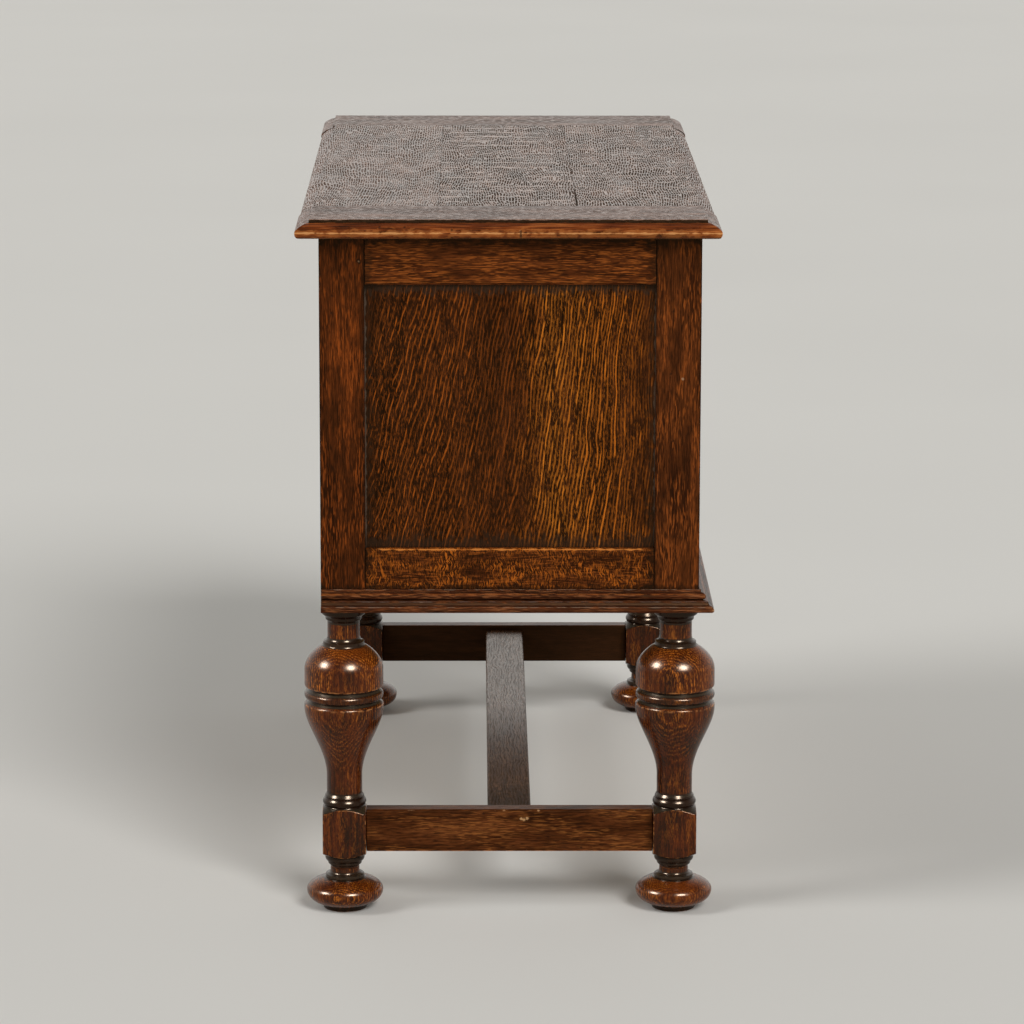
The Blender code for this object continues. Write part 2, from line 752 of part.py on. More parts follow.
LEGS = {}
for corner, axis in LEG_AXES.items():
    leg_name = f"leg_{corner}"
    leg = piece(leg_name, turned_mesh(leg_name, leg_profile()), (*axis, 0), TURNED_OAK)
    spin(leg)
    cut(leg, square_collar(f"{leg_name}_square", axis))
    spigot_top = FOOT_HEIGHT + FOOT_SPIGOT_LENGTH + FIT
    socket_radius = FOOT_SPIGOT_RADIUS + 2 * FIT
    cut(leg, round_tool(f"{leg_name}_socket", socket_radius, 0, spigot_top, axis))
    dowel_top = LEG_HEIGHT + LEG_DOWEL_LENGTH + FIT
    hole_radius = LEG_DOWEL_RADIUS + 2 * FIT
    cut(POSTS[corner], round_tool(f"{leg_name}_hole", hole_radius, BLOCK_TOP, dowel_top, axis))
    foot_name = f"bun_foot_{corner}"
    spin(piece(foot_name, turned_mesh(foot_name, foot_profile()), (*axis, 0), TURNED_OAK))
    LEGS[corner] = leg


# Stretchers: one across each end, and a flat one between them
def round_top(obj, width):
    """Eases the two long upper arrises of a rail."""
    bm = bmesh.new()
    bm.from_mesh(obj.data)
    size = obj.dimensions
    run = 0 if size.x > size.y else 1
    longest = [
        edge
        for edge in bm.edges
        if all(vertex.co.z > 0 for vertex in edge.verts)
        and abs(edge.verts[0].co[run] - edge.verts[1].co[run]) > 0.001
    ]
    bmesh.ops.bevel(
        bm, geom=longest, offset=width, segments=2, profile=0.5, affect="EDGES"
    )
    bm.to_mesh(obj.data)
    bm.free()


stretcher_high = STRETCHER_BOTTOM + STRETCHER_HEIGHT
end_stretchers = {}
for end_name, axis_x in (("left", LEFT + LEG_INSET), ("right", RIGHT - LEG_INSET)):
    front_face = FRONT + LEG_BLOCK + FIT
    back_face = BACK - LEG_BLOCK - FIT
    half_thick = STRETCHER_THICKNESS / 2
    stretcher_name = f"end_stretcher_{end_name}"
    stretcher = block(
        stretcher_name,
        (
            (axis_x - half_thick, front_face, STRETCHER_BOTTOM),
            (axis_x + half_thick, back_face, stretcher_high),
        ),
        FRAME_OAK,
    )
    bpy.context.view_layer.update()
    round_top(stretcher, STRETCHER_ROUND)
    half_tenon = TENON_THICKNESS / 2
    tenon_low = STRETCHER_BOTTOM + TENON_SHOULDER
    tenon_high = stretcher_high - TENON_SHOULDER
    for depth_name, face, way in (("front", front_face, -1), ("back", back_face, 1)):
        ys = sorted((face - way * OVERSHOOT, face + way * STRETCHER_TENON_LENGTH))
        tenon_box = (
            (axis_x - half_tenon, ys[0], tenon_low),
            (axis_x + half_tenon, ys[1], tenon_high),
        )
        receiver = LEGS[f"{depth_name}_{end_name}"]
        add_tenon(stretcher, receiver, f"{stretcher_name}_{depth_name}", tenon_box)
    end_stretchers[end_name] = stretcher

centre_y = (FRONT + BACK) / 2
centre_half = BODY_LENGTH / 2 - LEG_INSET - STRETCHER_THICKNESS / 2 - FIT
centre_high = stretcher_high - CENTRE_STRETCHER_DROP
centre_low = centre_high - CENTRE_STRETCHER_THICKNESS
half_wide = CENTRE_STRETCHER_WIDTH / 2
centre_stretcher = block(
    "centre_stretcher",
    (
        (-centre_half, centre_y - half_wide, centre_low),
        (centre_half, centre_y + half_wide, centre_high),
    ),
    FRAME_OAK,
)
bpy.context.view_layer.update()
round_top(centre_stretcher, STRETCHER_ROUND)
for end_name, way in (("left", -1), ("right", 1)):
    xs = sorted(
        (way * (centre_half - OVERSHOOT), way * (centre_half + STRETCHER_THICKNESS / 2))
    )
    tenon_box = (
        (xs[0], centre_y - half_wide + TENON_SHOULDER, centre_low + TENON_THICKNESS),
        (xs[1], centre_y + half_wide - TENON_SHOULDER, centre_high - TENON_THICKNESS),
    )
    add_tenon(centre_stretcher, end_stretchers[end_name], f"centre_stretcher_{end_name}", tenon_box)


# Butt hinges: one leaf on the back rail, the other under the lid, on a loose pin
def leaf_outline():
    """Edge view of a leaf: a flat plate that rolls into its knuckle, with the bore."""
    inside = KNUCKLE_RADIUS - LEAF_THICKNESS
    start = math.asin(inside / KNUCKLE_RADIUS)
    rolled_angle = start + 1.5 * math.pi
    rolled = [
        (KNUCKLE_RADIUS * math.cos(angle), KNUCKLE_RADIUS * math.sin(angle))
        for angle in (start - rolled_angle * step / KNUCKLE_SIDES for step in range(KNUCKLE_SIDES + 1))
    ]
    plate = [(LEAF_WIDTH, KNUCKLE_RADIUS), (LEAF_WIDTH, inside)]
    bore = [
        (HINGE_BORE_RADIUS * math.cos(angle), HINGE_BORE_RADIUS * math.sin(angle))
        for angle in (2 * math.pi * step / KNUCKLE_SIDES for step in range(KNUCKLE_SIDES))
    ]
    return [plate + rolled, bore]


def countersink_profile():
    """A screw hole through a leaf, from above its inner face to below its back."""
    above = OVERSHOOT / 4
    below = LEAF_THICKNESS + OVERSHOOT / 4
    slope = (SCREW_HEAD_RADIUS - SCREW_SHANK_RADIUS) / (0.7 * LEAF_THICKNESS)
    return [
        (0, above),
        (SCREW_HEAD_RADIUS + slope * above, above),
        (SCREW_SHANK_RADIUS, -0.7 * LEAF_THICKNESS),
        (SCREW_SHANK_RADIUS, -below),
        (0, -below),
    ]


def hinge_leaf(name, x, plate_way, wood_way, own_knuckles, material, carrier):
    """A leaf whose plate runs along plate_way, with its back against the wood."""
    turn = facing(plate_way, wood_way)
    place = Vector((x, HINGE_Y, HINGE_Z))
    leaf = piece(name, drawn_out(name, leaf_outline(), HINGE_LENGTH), place, material, carrier, turn)
    pitch = HINGE_LENGTH / HINGE_KNUCKLES
    clear = KNUCKLE_RADIUS + 2 * FIT
    for knuckle in range(HINGE_KNUCKLES):
        if knuckle in own_knuckles:
            continue
        along = x - HINGE_LENGTH / 2 + pitch * knuckle
        ends = [along - FIT, along + pitch + FIT]
        if knuckle == 0:
            ends[0] -= OVERSHOOT
        if knuckle == HINGE_KNUCKLES - 1:
            ends[1] += OVERSHOOT
        room = (
            (ends[0], HINGE_Y - clear, HINGE_Z - clear),
            (ends[1], HINGE_Y + clear, HINGE_Z + clear),
        )
        cut(leaf, tool_block(f"{name}_gap_{knuckle}", room))
    inner_face = Vector(wood_way) * (KNUCKLE_RADIUS - LEAF_THICKNESS)
    screw_row = Vector(plate_way) * (LEAF_WIDTH + KNUCKLE_RADIUS) / 2
    head_turn = Vector(wood_way).to_track_quat("-Z", "X").to_matrix()
    spacing = HINGE_LENGTH / SCREWS_PER_LEAF
    for number in range(SCREWS_PER_LEAF):
        offset = (number - (SCREWS_PER_LEAF - 1) / 2) * spacing
        spot = place + Vector((offset, 0, 0)) + screw_row + inner_face
        hole_name = f"{name}_hole_{number}"
        hole = tool(hole_name, turned_mesh(hole_name, countersink_profile()), spot, head_turn)
        cut(leaf, spin(hole, KNUCKLE_SIDES))
    return leaf


for end_name, hinge_x in (("left", -HINGE_X), ("right", HINGE_X)):
    hinge_leaf(
        f"hinge_{end_name}_body_leaf", hinge_x, (0, 0, -1), (0, -1, 0), (0, 2, 4), HINGE_STEEL, CHEST
    )
    hinge_leaf(
        f"hinge_{end_name}_lid_leaf", hinge_x, (0, 1, 0), (0, 0, 1), (1, 3), HINGE_STEEL, LID
    )
    head_seat = HINGE_LENGTH / 2 + FIT
    pin_profile = [
        (0, head_seat + PIN_HEAD_HEIGHT),
        (0.7 * PIN_HEAD_RADIUS, head_seat + 0.8 * PIN_HEAD_HEIGHT),
        (PIN_HEAD_RADIUS, head_seat),
        (HINGE_PIN_RADIUS, head_seat),
    ]
    pin_profile += [(radius, -height) for radius, height in reversed(pin_profile)]
    pin_name = f"hinge_{end_name}_pin"
    pin_turn = Matrix.Rotation(math.pi / 2, 3, "Y")
    pin_mesh = turned_mesh(pin_name, pin_profile)
    pin = piece(pin_name, pin_mesh, (hinge_x, HINGE_Y, HINGE_Z), HINGE_STEEL, CHEST, pin_turn)
    spin(pin, KNUCKLE_SIDES)

bpy.context.view_layer.update()
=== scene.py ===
"""The looks of an oak blanket chest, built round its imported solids.

Metres, +Z up. The length runs along X and the front faces -Y, as in the solids.
"""

import json
import math

import bmesh
import bpy
from mathutils import Matrix, Vector
from mathutils.geometry import interpolate_bezier

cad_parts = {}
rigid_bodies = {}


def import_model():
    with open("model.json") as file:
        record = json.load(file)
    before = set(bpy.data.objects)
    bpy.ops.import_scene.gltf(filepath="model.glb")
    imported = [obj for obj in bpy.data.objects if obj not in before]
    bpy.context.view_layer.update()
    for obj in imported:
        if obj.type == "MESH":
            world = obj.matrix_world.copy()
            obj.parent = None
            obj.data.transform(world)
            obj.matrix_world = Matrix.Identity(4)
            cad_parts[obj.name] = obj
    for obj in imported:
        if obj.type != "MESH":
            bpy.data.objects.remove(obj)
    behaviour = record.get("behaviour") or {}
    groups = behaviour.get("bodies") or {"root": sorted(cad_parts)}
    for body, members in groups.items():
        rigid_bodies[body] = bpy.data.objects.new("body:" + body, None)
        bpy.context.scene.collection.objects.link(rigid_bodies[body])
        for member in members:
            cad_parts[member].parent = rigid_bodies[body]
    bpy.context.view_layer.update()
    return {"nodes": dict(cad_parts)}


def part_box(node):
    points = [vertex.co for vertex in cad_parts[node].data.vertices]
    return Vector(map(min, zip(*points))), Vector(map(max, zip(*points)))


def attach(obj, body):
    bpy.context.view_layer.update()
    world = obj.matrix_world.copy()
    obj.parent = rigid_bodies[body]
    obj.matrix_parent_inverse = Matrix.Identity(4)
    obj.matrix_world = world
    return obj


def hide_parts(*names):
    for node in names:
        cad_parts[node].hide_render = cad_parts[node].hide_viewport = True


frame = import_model()


# Legs: cup-and-cover balusters of oak, with cheeks glued round a square core so that the lathe can swell
# them. Each keeps a square block for the stretchers, takes the spigot of its foot below, and ends at the
# top in a dowel that is driven into the corner post.
LEG_JOINT = 0.0463
BLOCK_TOP = 0.114
BLOCK_BOTTOM = 0.060
BLOCK_SHOULDER = 0.006
BLOCK_WIDTH = 0.047
BULB = 0.0426
NECK = 0.0175
ANKLE = 0.0157
DOWEL_RADIUS = 0.008
DOWEL_LENGTH = 0.030
SPIGOT_RADIUS = 0.009
SPIGOT_LENGTH = 0.020
SPIGOT_ROOM = 0.0003
ROUND_SIDES = 128
RING_STEP = 0.0025
ARRIS_EASE = 0.0006
WAX_REACH = 0.0016
# The block's section is a circle that a power squares, and its arrises lie beyond a share of its half width
SQUARE_POWER = 40
CORNER_SHARE = 1.36
RUB_AND_WAX_SHEEN_SHARE = 0.6


def flow(start, lead, follow, end, count=10):
    """Points along a flowing curve from start to end, without the start itself."""
    knots = [Vector((*point, 0)) for point in (start, lead, follow, end)]
    return [(point.x, point.y) for point in interpolate_bezier(*knots, count + 1)][1:]


def bead(radius, high, low, bulge, count=8):
    """A half-round swelling between two heights."""
    steps = [step / count for step in range(count + 1)]
    return [(radius + bulge * math.sin(math.pi * t), high + (low - high) * t) for t in steps]


def eased(outline, reach=ARRIS_EASE, least_turn=0.25):
    """The outline with its corners rubbed round, and its long runs split into short steps."""
    points = [Vector(point) for point in outline]
    soft = [points[0]]
    for before, here, after in zip(points, points[1:], points[2:]):
        inward = before - here
        onward = after - here
        if inward.angle(-onward, 0) < least_turn:
            soft.append(here)
            continue
        start = here + inward.normalized() * min(reach, 0.4 * inward.length)
        end = here + onward.normalized() * min(reach, 0.4 * onward.length)
        soft += [start, (start + 2 * here + end) / 4, end]
    soft.append(points[-1])
    fine = [soft[0]]
    for before, here in zip(soft, soft[1:]):
        steps = max(1, round((here - before).length / RING_STEP))
        fine += [before.lerp(here, step / steps) for step in range(1, steps + 1)]
    return fine


def sticks_out(outline, reach=WAX_REACH):
    """How far each point stands proud of its neighbours (above 0) or lies in a hollow (below 0)."""
    lengths = [0.0]
    for before, here in zip(outline, outline[1:]):
        lengths.append(lengths[-1] + (here - before).length)

    def point_at(length):
        for index in range(1, len(outline)):
            if lengths[index] >= length:
                share = (length - lengths[index - 1]) / max(lengths[index] - lengths[index - 1], 1e-9)
                return outline[index - 1].lerp(outline[index], min(max(share, 0), 1))
        return outline[-1]

    proud = []
    for here, length in zip(outline, lengths):
        above = point_at(max(length - reach, 0))
        below = point_at(length + reach)
        outward = Vector((above.y - below.y, below.x - above.x)).normalized()
        proud.append(max(-1, min(1, 2 * (here - (above + below) / 2).dot(outward) / reach)))
    return proud


def drawn(name, made):
    """A piece in the scene from its drawn mesh."""
    mesh = bpy.data.meshes.new(name)
    made.to_mesh(mesh)
    made.free()
    obj = bpy.data.objects.new(name, mesh)
    bpy.context.scene.collection.objects.link(obj)
    return obj


def turned(name, outline, place, wax_and_sheen=(), block=None):
    """A mesh of rings round an upright axis. Wax lies on spans of its height, greyed at a middling share by
    a painted reflection, and between the heights of block the rings are planed square."""
    outline = eased(outline)
    made = bmesh.new()
    depth = made.verts.layers.float.new("proud")
    rings = []
    for (radius, height), worn in zip(outline, sticks_out(outline)):
        for low, high, share in wax_and_sheen:
            if low < height < high:
                worn = min(worn, -share)
        ring = []
        for side in range(ROUND_SIDES if radius > 0 else 1):
            turn = 2 * math.pi * side / ROUND_SIDES
            reach = radius
            swell = worn
            if block and block[0] < height < block[1]:
                square = abs(math.cos(turn)) ** SQUARE_POWER + abs(math.sin(turn)) ** SQUARE_POWER
                square **= -1 / SQUARE_POWER
                flat = BLOCK_WIDTH / 2 * square
                reach = min(radius, flat)
                arris = square > CORNER_SHARE or abs(radius - flat) < ARRIS_EASE
                swell = RUB_AND_WAX_SHEEN_SHARE if arris else 0.0
                # Turned shoulders: middling wax, greyish as painted reflection on faces that turn up
                if radius < flat - ARRIS_EASE:
                    swell = -RUB_AND_WAX_SHEEN_SHARE
            corner = made.verts.new((reach * math.cos(turn), reach * math.sin(turn), height))
            corner[depth] = swell
            ring.append(corner)
        rings.append(ring)
    for upper, lower in zip(rings, rings[1:]):
        for side in range(ROUND_SIDES):
            after = (side + 1) % ROUND_SIDES
            corners = [upper[side % len(upper)], lower[side % len(lower)]]
            corners += [lower[after % len(lower)], upper[after % len(upper)]]
            made.faces.new(list(dict.fromkeys(corners)))
    bmesh.ops.recalc_face_normals(made, faces=made.faces)
    for face in made.faces:
        face.smooth = True
    for edge in made.edges:
        edge.smooth = edge.calc_face_angle(0) < math.radians(40)
    obj = drawn(name, made)
    obj.location = place
    return obj


def linear(code):
    """An sRGB hex colour as linear RGBA."""
    shares = [int(code[start:start + 2], 16) / 255 for start in (1, 3, 5)]
    return [*(c / 12.92 if c <= 0.04045 else ((c + 0.055) / 1.055) ** 2.4 for c in shares), 1]


def feed(tree, socket, value):
    """Links a node or one of its outputs to a socket, or sets the socket to a plain value."""
    if isinstance(value, bpy.types.Node):
        value = next(output for output in value.outputs if output.enabled)
    if isinstance(value, bpy.types.NodeSocket):
        tree.links.new(value, socket)
    else:
        socket.default_value = value


def node(tree, kind, sockets=None, stops=None, **settings):
    """Adds one node: its settings, what feeds its sockets, and a ramp's stops as place and colour."""
    made = tree.nodes.new("ShaderNode" + kind)
    for key, value in settings.items():
        setattr(made, key, value)
    for key, value in (sockets or {}).items():
        free = [socket for socket in made.inputs if socket.enabled]
        names = [socket.name for socket in free]
        feed(tree, free[key if isinstance(key, int) else names.index(key)], value)
    if stops:
        ramp = made.color_ramp.elements
        while len(ramp) < len(stops):
            ramp.new(1.0)
        for element, (place, colour) in zip(ramp, stops):
            element.position = place
            element.color = linear(colour)
    return made


def point_axes(tree):
    """A point's X, Y and Z on its object, in metres."""
    place = node(tree, "TexCoord").outputs["Object"]
    return node(tree, "SeparateXYZ", {0: place}).outputs


def streaks(tree, place, width, length, detail=2.0, rough=0.5):
    """A cloudy pattern drawn out along the grain, from its width and length in millimetres."""
    scale = (1000 / width, 1000 / length, 1000 / width)
    spread = node(tree, "VectorMath", {0: place, 1: scale}, operation="MULTIPLY")
    return node(tree, "TexNoise", {"Vector": spread, "Scale": 1.0, "Detail": detail, "Roughness": rough})


SMOOTH = {"interpolation_type": "SMOOTHSTEP"}


def dashes(tree, place, width, length, start, full):
    """Short strokes along the grain, from nothing to full cover as a cloudy pattern passes two levels."""
    cloud = streaks(tree, place, width, length, 1.0)
    return node(tree, "MapRange", {0: cloud, 1: start, 2: full}, **SMOOTH)


def painted(tree, under, paint, *covers):
    """A colour with paint, a hex colour or a pattern, laid over it where all the covers meet."""
    if isinstance(paint, str):
        paint = linear(paint)
    cover, *others = covers
    for other in others:
        cover = node(tree, "Math", {0: cover, 1: other}, operation="MULTIPLY")
    return node(tree, "Mix", {"Factor": cover, "A": under, "B": paint}, data_type="RGBA")


def blended(tree, *shares):
    """Patterns added up by their shares, so that the sum lies round a half as each of them does."""
    total = 0.5 - sum(share for pattern, share in shares) / 2
    for pattern, share in shares:
        total = node(tree, "Math", {0: pattern, 1: share, 2: total}, operation="MULTIPLY_ADD")
    return total


def new_finish(name):
    """A material with its shader, ready for the nodes that feed it."""
    material = bpy.data.materials.new(name)
    material.use_nodes = True
    return material, material.node_tree, material.node_tree.nodes["Principled BSDF"]


def coat(tree, shader, sockets):
    """Feeds the sockets of a shader."""
    for socket, value in sockets.items():
        feed(tree, shader.inputs[socket], value)


def polish(tree, shader, colour, rough, relief, depth, level, tint):
    """Joins a wood's colour, roughness and relief (in metres) to its shader, under a film of polish."""
    bump = node(tree, "Bump", {"Strength": 1.0, "Distance": depth, "Height": relief}, invert=True)
    coat(tree, shader, {
        "Base Color": colour, "Roughness": rough, "Normal": bump, "IOR": 1.5, "Specular IOR Level": level,
        "Specular Tint": linear(tint),
    })


def turned_oak(name, shift):
    """French-polished turned oak: red-brown stain, golden strokes along growth rings that the lathe cut to
    ovals on the cheeks, dark wax in the hollows and on the small rings, greyed on the ledges by a painted
    reflection, painted light and shade by height, and a clear gloss over it all."""
    ring_width = 2.6
    material, tree, shader = new_finish(name)
    axes = point_axes(tree)
    grain = node(tree, "CombineXYZ", {0: axes[0], 1: axes[2], 2: axes[1]})
    grain = node(tree, "VectorMath", {0: grain, 1: shift}, operation="ADD")
    # The cheeks on the ends of the chest are as wide as the core, and those beside them cover the rest
    reach_x = node(tree, "Math", {0: axes[0]}, operation="ABSOLUTE")
    reach_y = node(tree, "Math", {0: axes[1]}, operation="ABSOLUTE")
    side = node(tree, "Math", {0: reach_y, 1: BLOCK_WIDTH / 2}, operation="GREATER_THAN")
    front = node(tree, "Math", {0: axes[1], 1: 0.16, 2: reach_x}, operation="MULTIPLY_ADD")
    flank = node(tree, "Math", {0: axes[0], 1: 0.20, 2: reach_y}, operation="MULTIPLY_ADD")
    layer = node(tree, "Mix", {0: side, 1: front, 2: flank}, data_type="FLOAT")
    wander = streaks(tree, grain, 30, 110, 3.0)
    layer = node(tree, "Math", {0: wander, 1: 0.012, 2: layer}, operation="MULTIPLY_ADD")
    ring = node(tree, "Math", {0: layer, 1: 1000 / ring_width}, operation="MULTIPLY")
    ring = node(tree, "Math", {0: ring, 1: 0.5}, operation="PINGPONG")
    late = node(tree, "MapRange", {0: ring, 1: 0.12, 2: 0.40}, **SMOOTH)
    line = node(tree, "MapRange", {0: ring, 1: 0.36, 2: 0.48}, **SMOOTH)
    glow = node(tree, "MapRange", {0: streaks(tree, grain, 24, 40, 2.0), 1: 0.36, 2: 0.62, 3: 0.12, 4: 1.0})
    # Tone by height over the stain: the covers and upper cups are lightest, as painted light for the broad
    # light on their swells. The feet are light too, and the tone falls as painted shade down the lower cups
    # and stems to the blocks, whose stain is darker.
    height = node(tree, "Math", {0: axes[2], 1: 0.4}, operation="DIVIDE")
    stain_and_painted_light = node(tree, "ValToRGB", {0: height}, stops=(
        (0.12, "#F0F0F0"), (0.15, "#8C8C8C"), (0.30, "#909090"), (0.45, "#A0A0A0"), (0.57, "#C0C0C0"),
        (0.63, "#FFFFFF"), (0.73, "#F4F4F4"), (0.77, "#A8A8A8"),
    ))
    glow = node(tree, "Math", {0: glow, 1: stain_and_painted_light}, operation="MULTIPLY")
    cloud = streaks(tree, grain, 30, 70, 3.0)
    fibre = streaks(tree, grain, 2.2, 30, 2.0)
    body = blended(tree, (cloud, 0.7), (fibre, 0.6), (late, 0.05))
    body = node(tree, "Math", {0: body, 1: -0.07}, operation="ADD")
    body = node(tree, "Math", {0: stain_and_painted_light, 1: 0.17, 2: body}, operation="MULTIPLY_ADD")
    colour = node(tree, "ValToRGB", {0: body}, stops=(
        (0.28, "#180501"), (0.42, "#2C0E02"), (0.52, "#3E1604"), (0.64, "#542206"), (0.80, "#6E340E"),
    ))
    stroke = dashes(tree, grain, 1.1, 5.5, 0.49, 0.61)
    early = node(tree, "MapRange", {0: late, 3: 0.22, 4: 1.0})
    colour = painted(tree, colour, "#BC6A1E", stroke, early, glow, 0.85)
    broken = dashes(tree, grain, 2.4, 5, 0.40, 0.56)
    colour = painted(tree, colour, "#B56A22", line, broken, glow, 0.45)
    # The real pores are about 0.3 mm wide, drawn three times as wide so that they show
    pore = dashes(tree, grain, 0.9, 4.5, 0.55, 0.66)
    colour = painted(tree, colour, "#150602", pore, 0.7)
    proud = node(tree, "Attribute", attribute_name="proud").outputs["Fac"]
    wax = node(tree, "MapRange", {0: proud, 1: -0.08, 2: -0.40}, **SMOOTH)
    # At a middling share, as on the ledges, the wax turns greyish: painted reflection on upturned faces
    wax_and_sheen = node(tree, "ValToRGB", {0: node(tree, "MapRange", {0: proud, 1: -1.0, 2: 0.0})}, stops=(
        (0.05, "#080402"), (0.22, "#140904"), (0.45, "#2B281F"), (0.60, "#1C130C"),
    ))
    colour = painted(tree, colour, wax_and_sheen, wax, 0.92)
    rub = node(tree, "MapRange", {0: proud, 1: 0.25, 2: 0.6}, **SMOOTH)
    colour = painted(tree, colour, "#B27440", rub, dashes(tree, grain, 6, 6, 0.46, 0.62), 0.7)
    rough = node(tree, "Math", {0: pore, 1: 0.05, 2: 0.22}, operation="MULTIPLY_ADD")
    polish(tree, shader, colour, rough, pore, 0.000010, 0.30, "#FFE2C6")
    return material


# The outline of a leg from its dowel down, as radius and height over the block
collar_top = 0.2217
dowel_top = collar_top + DOWEL_LENGTH
upper = [(0, dowel_top), (DOWEL_RADIUS, dowel_top), (DOWEL_RADIUS, collar_top)]
# Collar under the carcase, then the upper neck with its flared ring
upper += [(0.0238, collar_top), (0.0238, 0.2150)]
upper += flow((0.0238, 0.2150), (0.0236, 0.2128), (0.0200, 0.2130), (0.0196, 0.2098), 7)
upper += [(0.0196, 0.2082), (NECK, 0.2062), (NECK, 0.1905)]
upper += flow((NECK, 0.1905), (NECK, 0.1862), (0.0190, 0.1840), (0.0222, 0.1837), 7)
# The cover, swelling to its straight wall
upper += [(0.0222, 0.1812), (0.0228, 0.1795)]
upper += flow((0.0228, 0.1795), (0.0300, 0.1755), (BULB, 0.1655), (BULB, 0.1525), 14)
upper += [(BULB, 0.1358), (BULB - 0.0008, 0.1340)]
# Two undercut grooves, each with a sloping floor, and the roll between them
upper += [(BULB - 0.0045, 0.1329), (BULB - 0.0042, 0.1319), (BULB - 0.0012, 0.1283)]
roll = BULB + 0.0006
upper += flow((BULB - 0.0012, 0.1283), (roll, 0.1270), (roll, 0.1236), (BULB - 0.0010, 0.1216), 6)
upper += [(BULB - 0.0045, 0.1205), (BULB - 0.0042, 0.1195), (BULB - 0.0009, 0.1160)]
# The cup, drawn in to the lower neck and its bead
upper += [(BULB + 0.0003, 0.1146), (BULB + 0.0003, 0.1105)]
upper += flow((BULB + 0.0003, 0.1105), (BULB, 0.0895), (0.0184, 0.0630), (0.0192, 0.0330), 20)
upper += [(0.0192, 0.0150), (0.0212, 0.0120), (0.0213, 0.0112), (0.0207, 0.0105)]
upper += bead(0.0216, 0.0098, 0.0010, 0.0020)
leg_outline = [(radius, BLOCK_TOP + height) for radius, height in upper]
# The block, whose turned shoulders run out on its square faces
corner = BLOCK_WIDTH / math.sqrt(2) + 0.0004
for shoulder_start, shoulder_end in (
    ((BLOCK_WIDTH / 2 - 0.0013, BLOCK_TOP + 0.0004), (corner, BLOCK_TOP - BLOCK_SHOULDER)),
    ((corner, BLOCK_BOTTOM + BLOCK_SHOULDER), (BLOCK_WIDTH / 2 - 0.0003, BLOCK_BOTTOM)),
):
    start, end = Vector(shoulder_start), Vector(shoulder_end)
    leg_outline += [tuple(start.lerp(end, step / 20)) for step in range(21)]
# Two rings and the ankle, round the socket that takes the foot
shank = BLOCK_BOTTOM - LEG_JOINT
ankle = [(0.0209, 0.92), (0.0215, 0.80), (0.0213, 0.66), (0.0204, 0.53), (0.0179, 0.45), (0.0184, 0.36)]
ankle += [(0.0182, 0.24), (ANKLE, 0.12), (ANKLE, 0)]
leg_outline += [(radius, LEG_JOINT + share * shank) for radius, share in ankle]
socket_radius = SPIGOT_RADIUS + SPIGOT_ROOM
socket_top = LEG_JOINT + SPIGOT_LENGTH
leg_outline += [(socket_radius, LEG_JOINT), (socket_radius, socket_top), (0, socket_top)]

# Dirt and wax: the small rings, the two sloping ledges, the bead above the block, and less on the ankle
# The ledges' middling share turns their wax greyish, as painted reflection on their upturned faces
ANKLE_TOP = 0.0490
leg_wax_and_sheen = [(BLOCK_TOP + low, BLOCK_TOP + high, share) for low, high, share in (
    (0.2050, 0.2200, 0.80), (0.1800, 0.1880, 0.72), (0.1284, 0.1325, 0.55), (0.1214, 0.1284, 0.24),
    (0.1161, 0.1200, 0.55), (0.0006, 0.0125, 0.78),
)]
leg_wax_and_sheen += [(ANKLE_TOP, BLOCK_BOTTOM - 0.0006, 0.75), (LEG_JOINT, ANKLE_TOP, 0.22)]
square_heights = (BLOCK_BOTTOM - 0.0004, BLOCK_TOP + 0.0002)
LEG_NAMES = ("front_left", "back_left", "front_right", "back_right")
leg_axes = {}
for index, leg_name in enumerate(LEG_NAMES):
    low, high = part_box("leg_" + leg_name)
    leg_axes[leg_name] = ((low.x + high.x) / 2, (low.y + high.y) / 2, 0)
    leg = turned("turned_leg_" + leg_name, leg_outline, leg_axes[leg_name], leg_wax_and_sheen, square_heights)
    oak = turned_oak("polished_turned_oak_leg_" + leg_name, (0.31 * index, 0.7 * index, 0.17))
    leg.data.materials.append(oak)
    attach(leg, "chest")
    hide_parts("leg_" + leg_name)


# Bun feet: turned from the same oak as the legs, with a neck and a ring over the cushion. Each has a spigot
# that is glued up into its leg.
FOOT_HEIGHT = 0.046
FOOT_RADIUS = 0.0415
# The bun below its spigot, as radius and share of the foot's height: neck, ring, cushion and pad
wide = FOOT_RADIUS
bun = [(ANKLE, 1), (ANKLE, 0.92)]
bun += flow((ANKLE, 0.92), (ANKLE, 0.85), (0.0180, 0.83), (0.0210, 0.825), 7)
bun += [(0.0212, 0.765), (0.0208, 0.745), (0.0218, 0.735)]
bun += flow((0.0218, 0.735), (0.0310, 0.70), (wide, 0.59), (wide, 0.445), 12)
bun += flow((wide, 0.445), (wide, 0.29), (0.87 * wide, 0.18), (0.0272, 0.125), 10)
bun += [(0.0240, 0.105), (0.0235, 0), (0, 0)]
tall = FOOT_HEIGHT
foot_outline = [(0, tall + SPIGOT_LENGTH), (SPIGOT_RADIUS, tall + SPIGOT_LENGTH), (SPIGOT_RADIUS, tall)]
foot_outline += [(radius, share * tall) for radius, share in bun]
foot_dirt = [(0.84 * tall, tall, 0.22), (0.74 * tall, 0.84 * tall, 0.65), (0.0002, 0.14 * tall, 0.85)]
for index, leg_name in enumerate(LEG_NAMES):
    foot = turned("turned_foot_" + leg_name, foot_outline, leg_axes[leg_name], foot_dirt)
    oak = turned_oak("polished_turned_oak_foot_" + leg_name, (0.27 * index, 0.9, 0.4 * index))
    foot.data.materials.append(oak)
    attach(foot, "chest")
    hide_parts("bun_foot_" + leg_name)


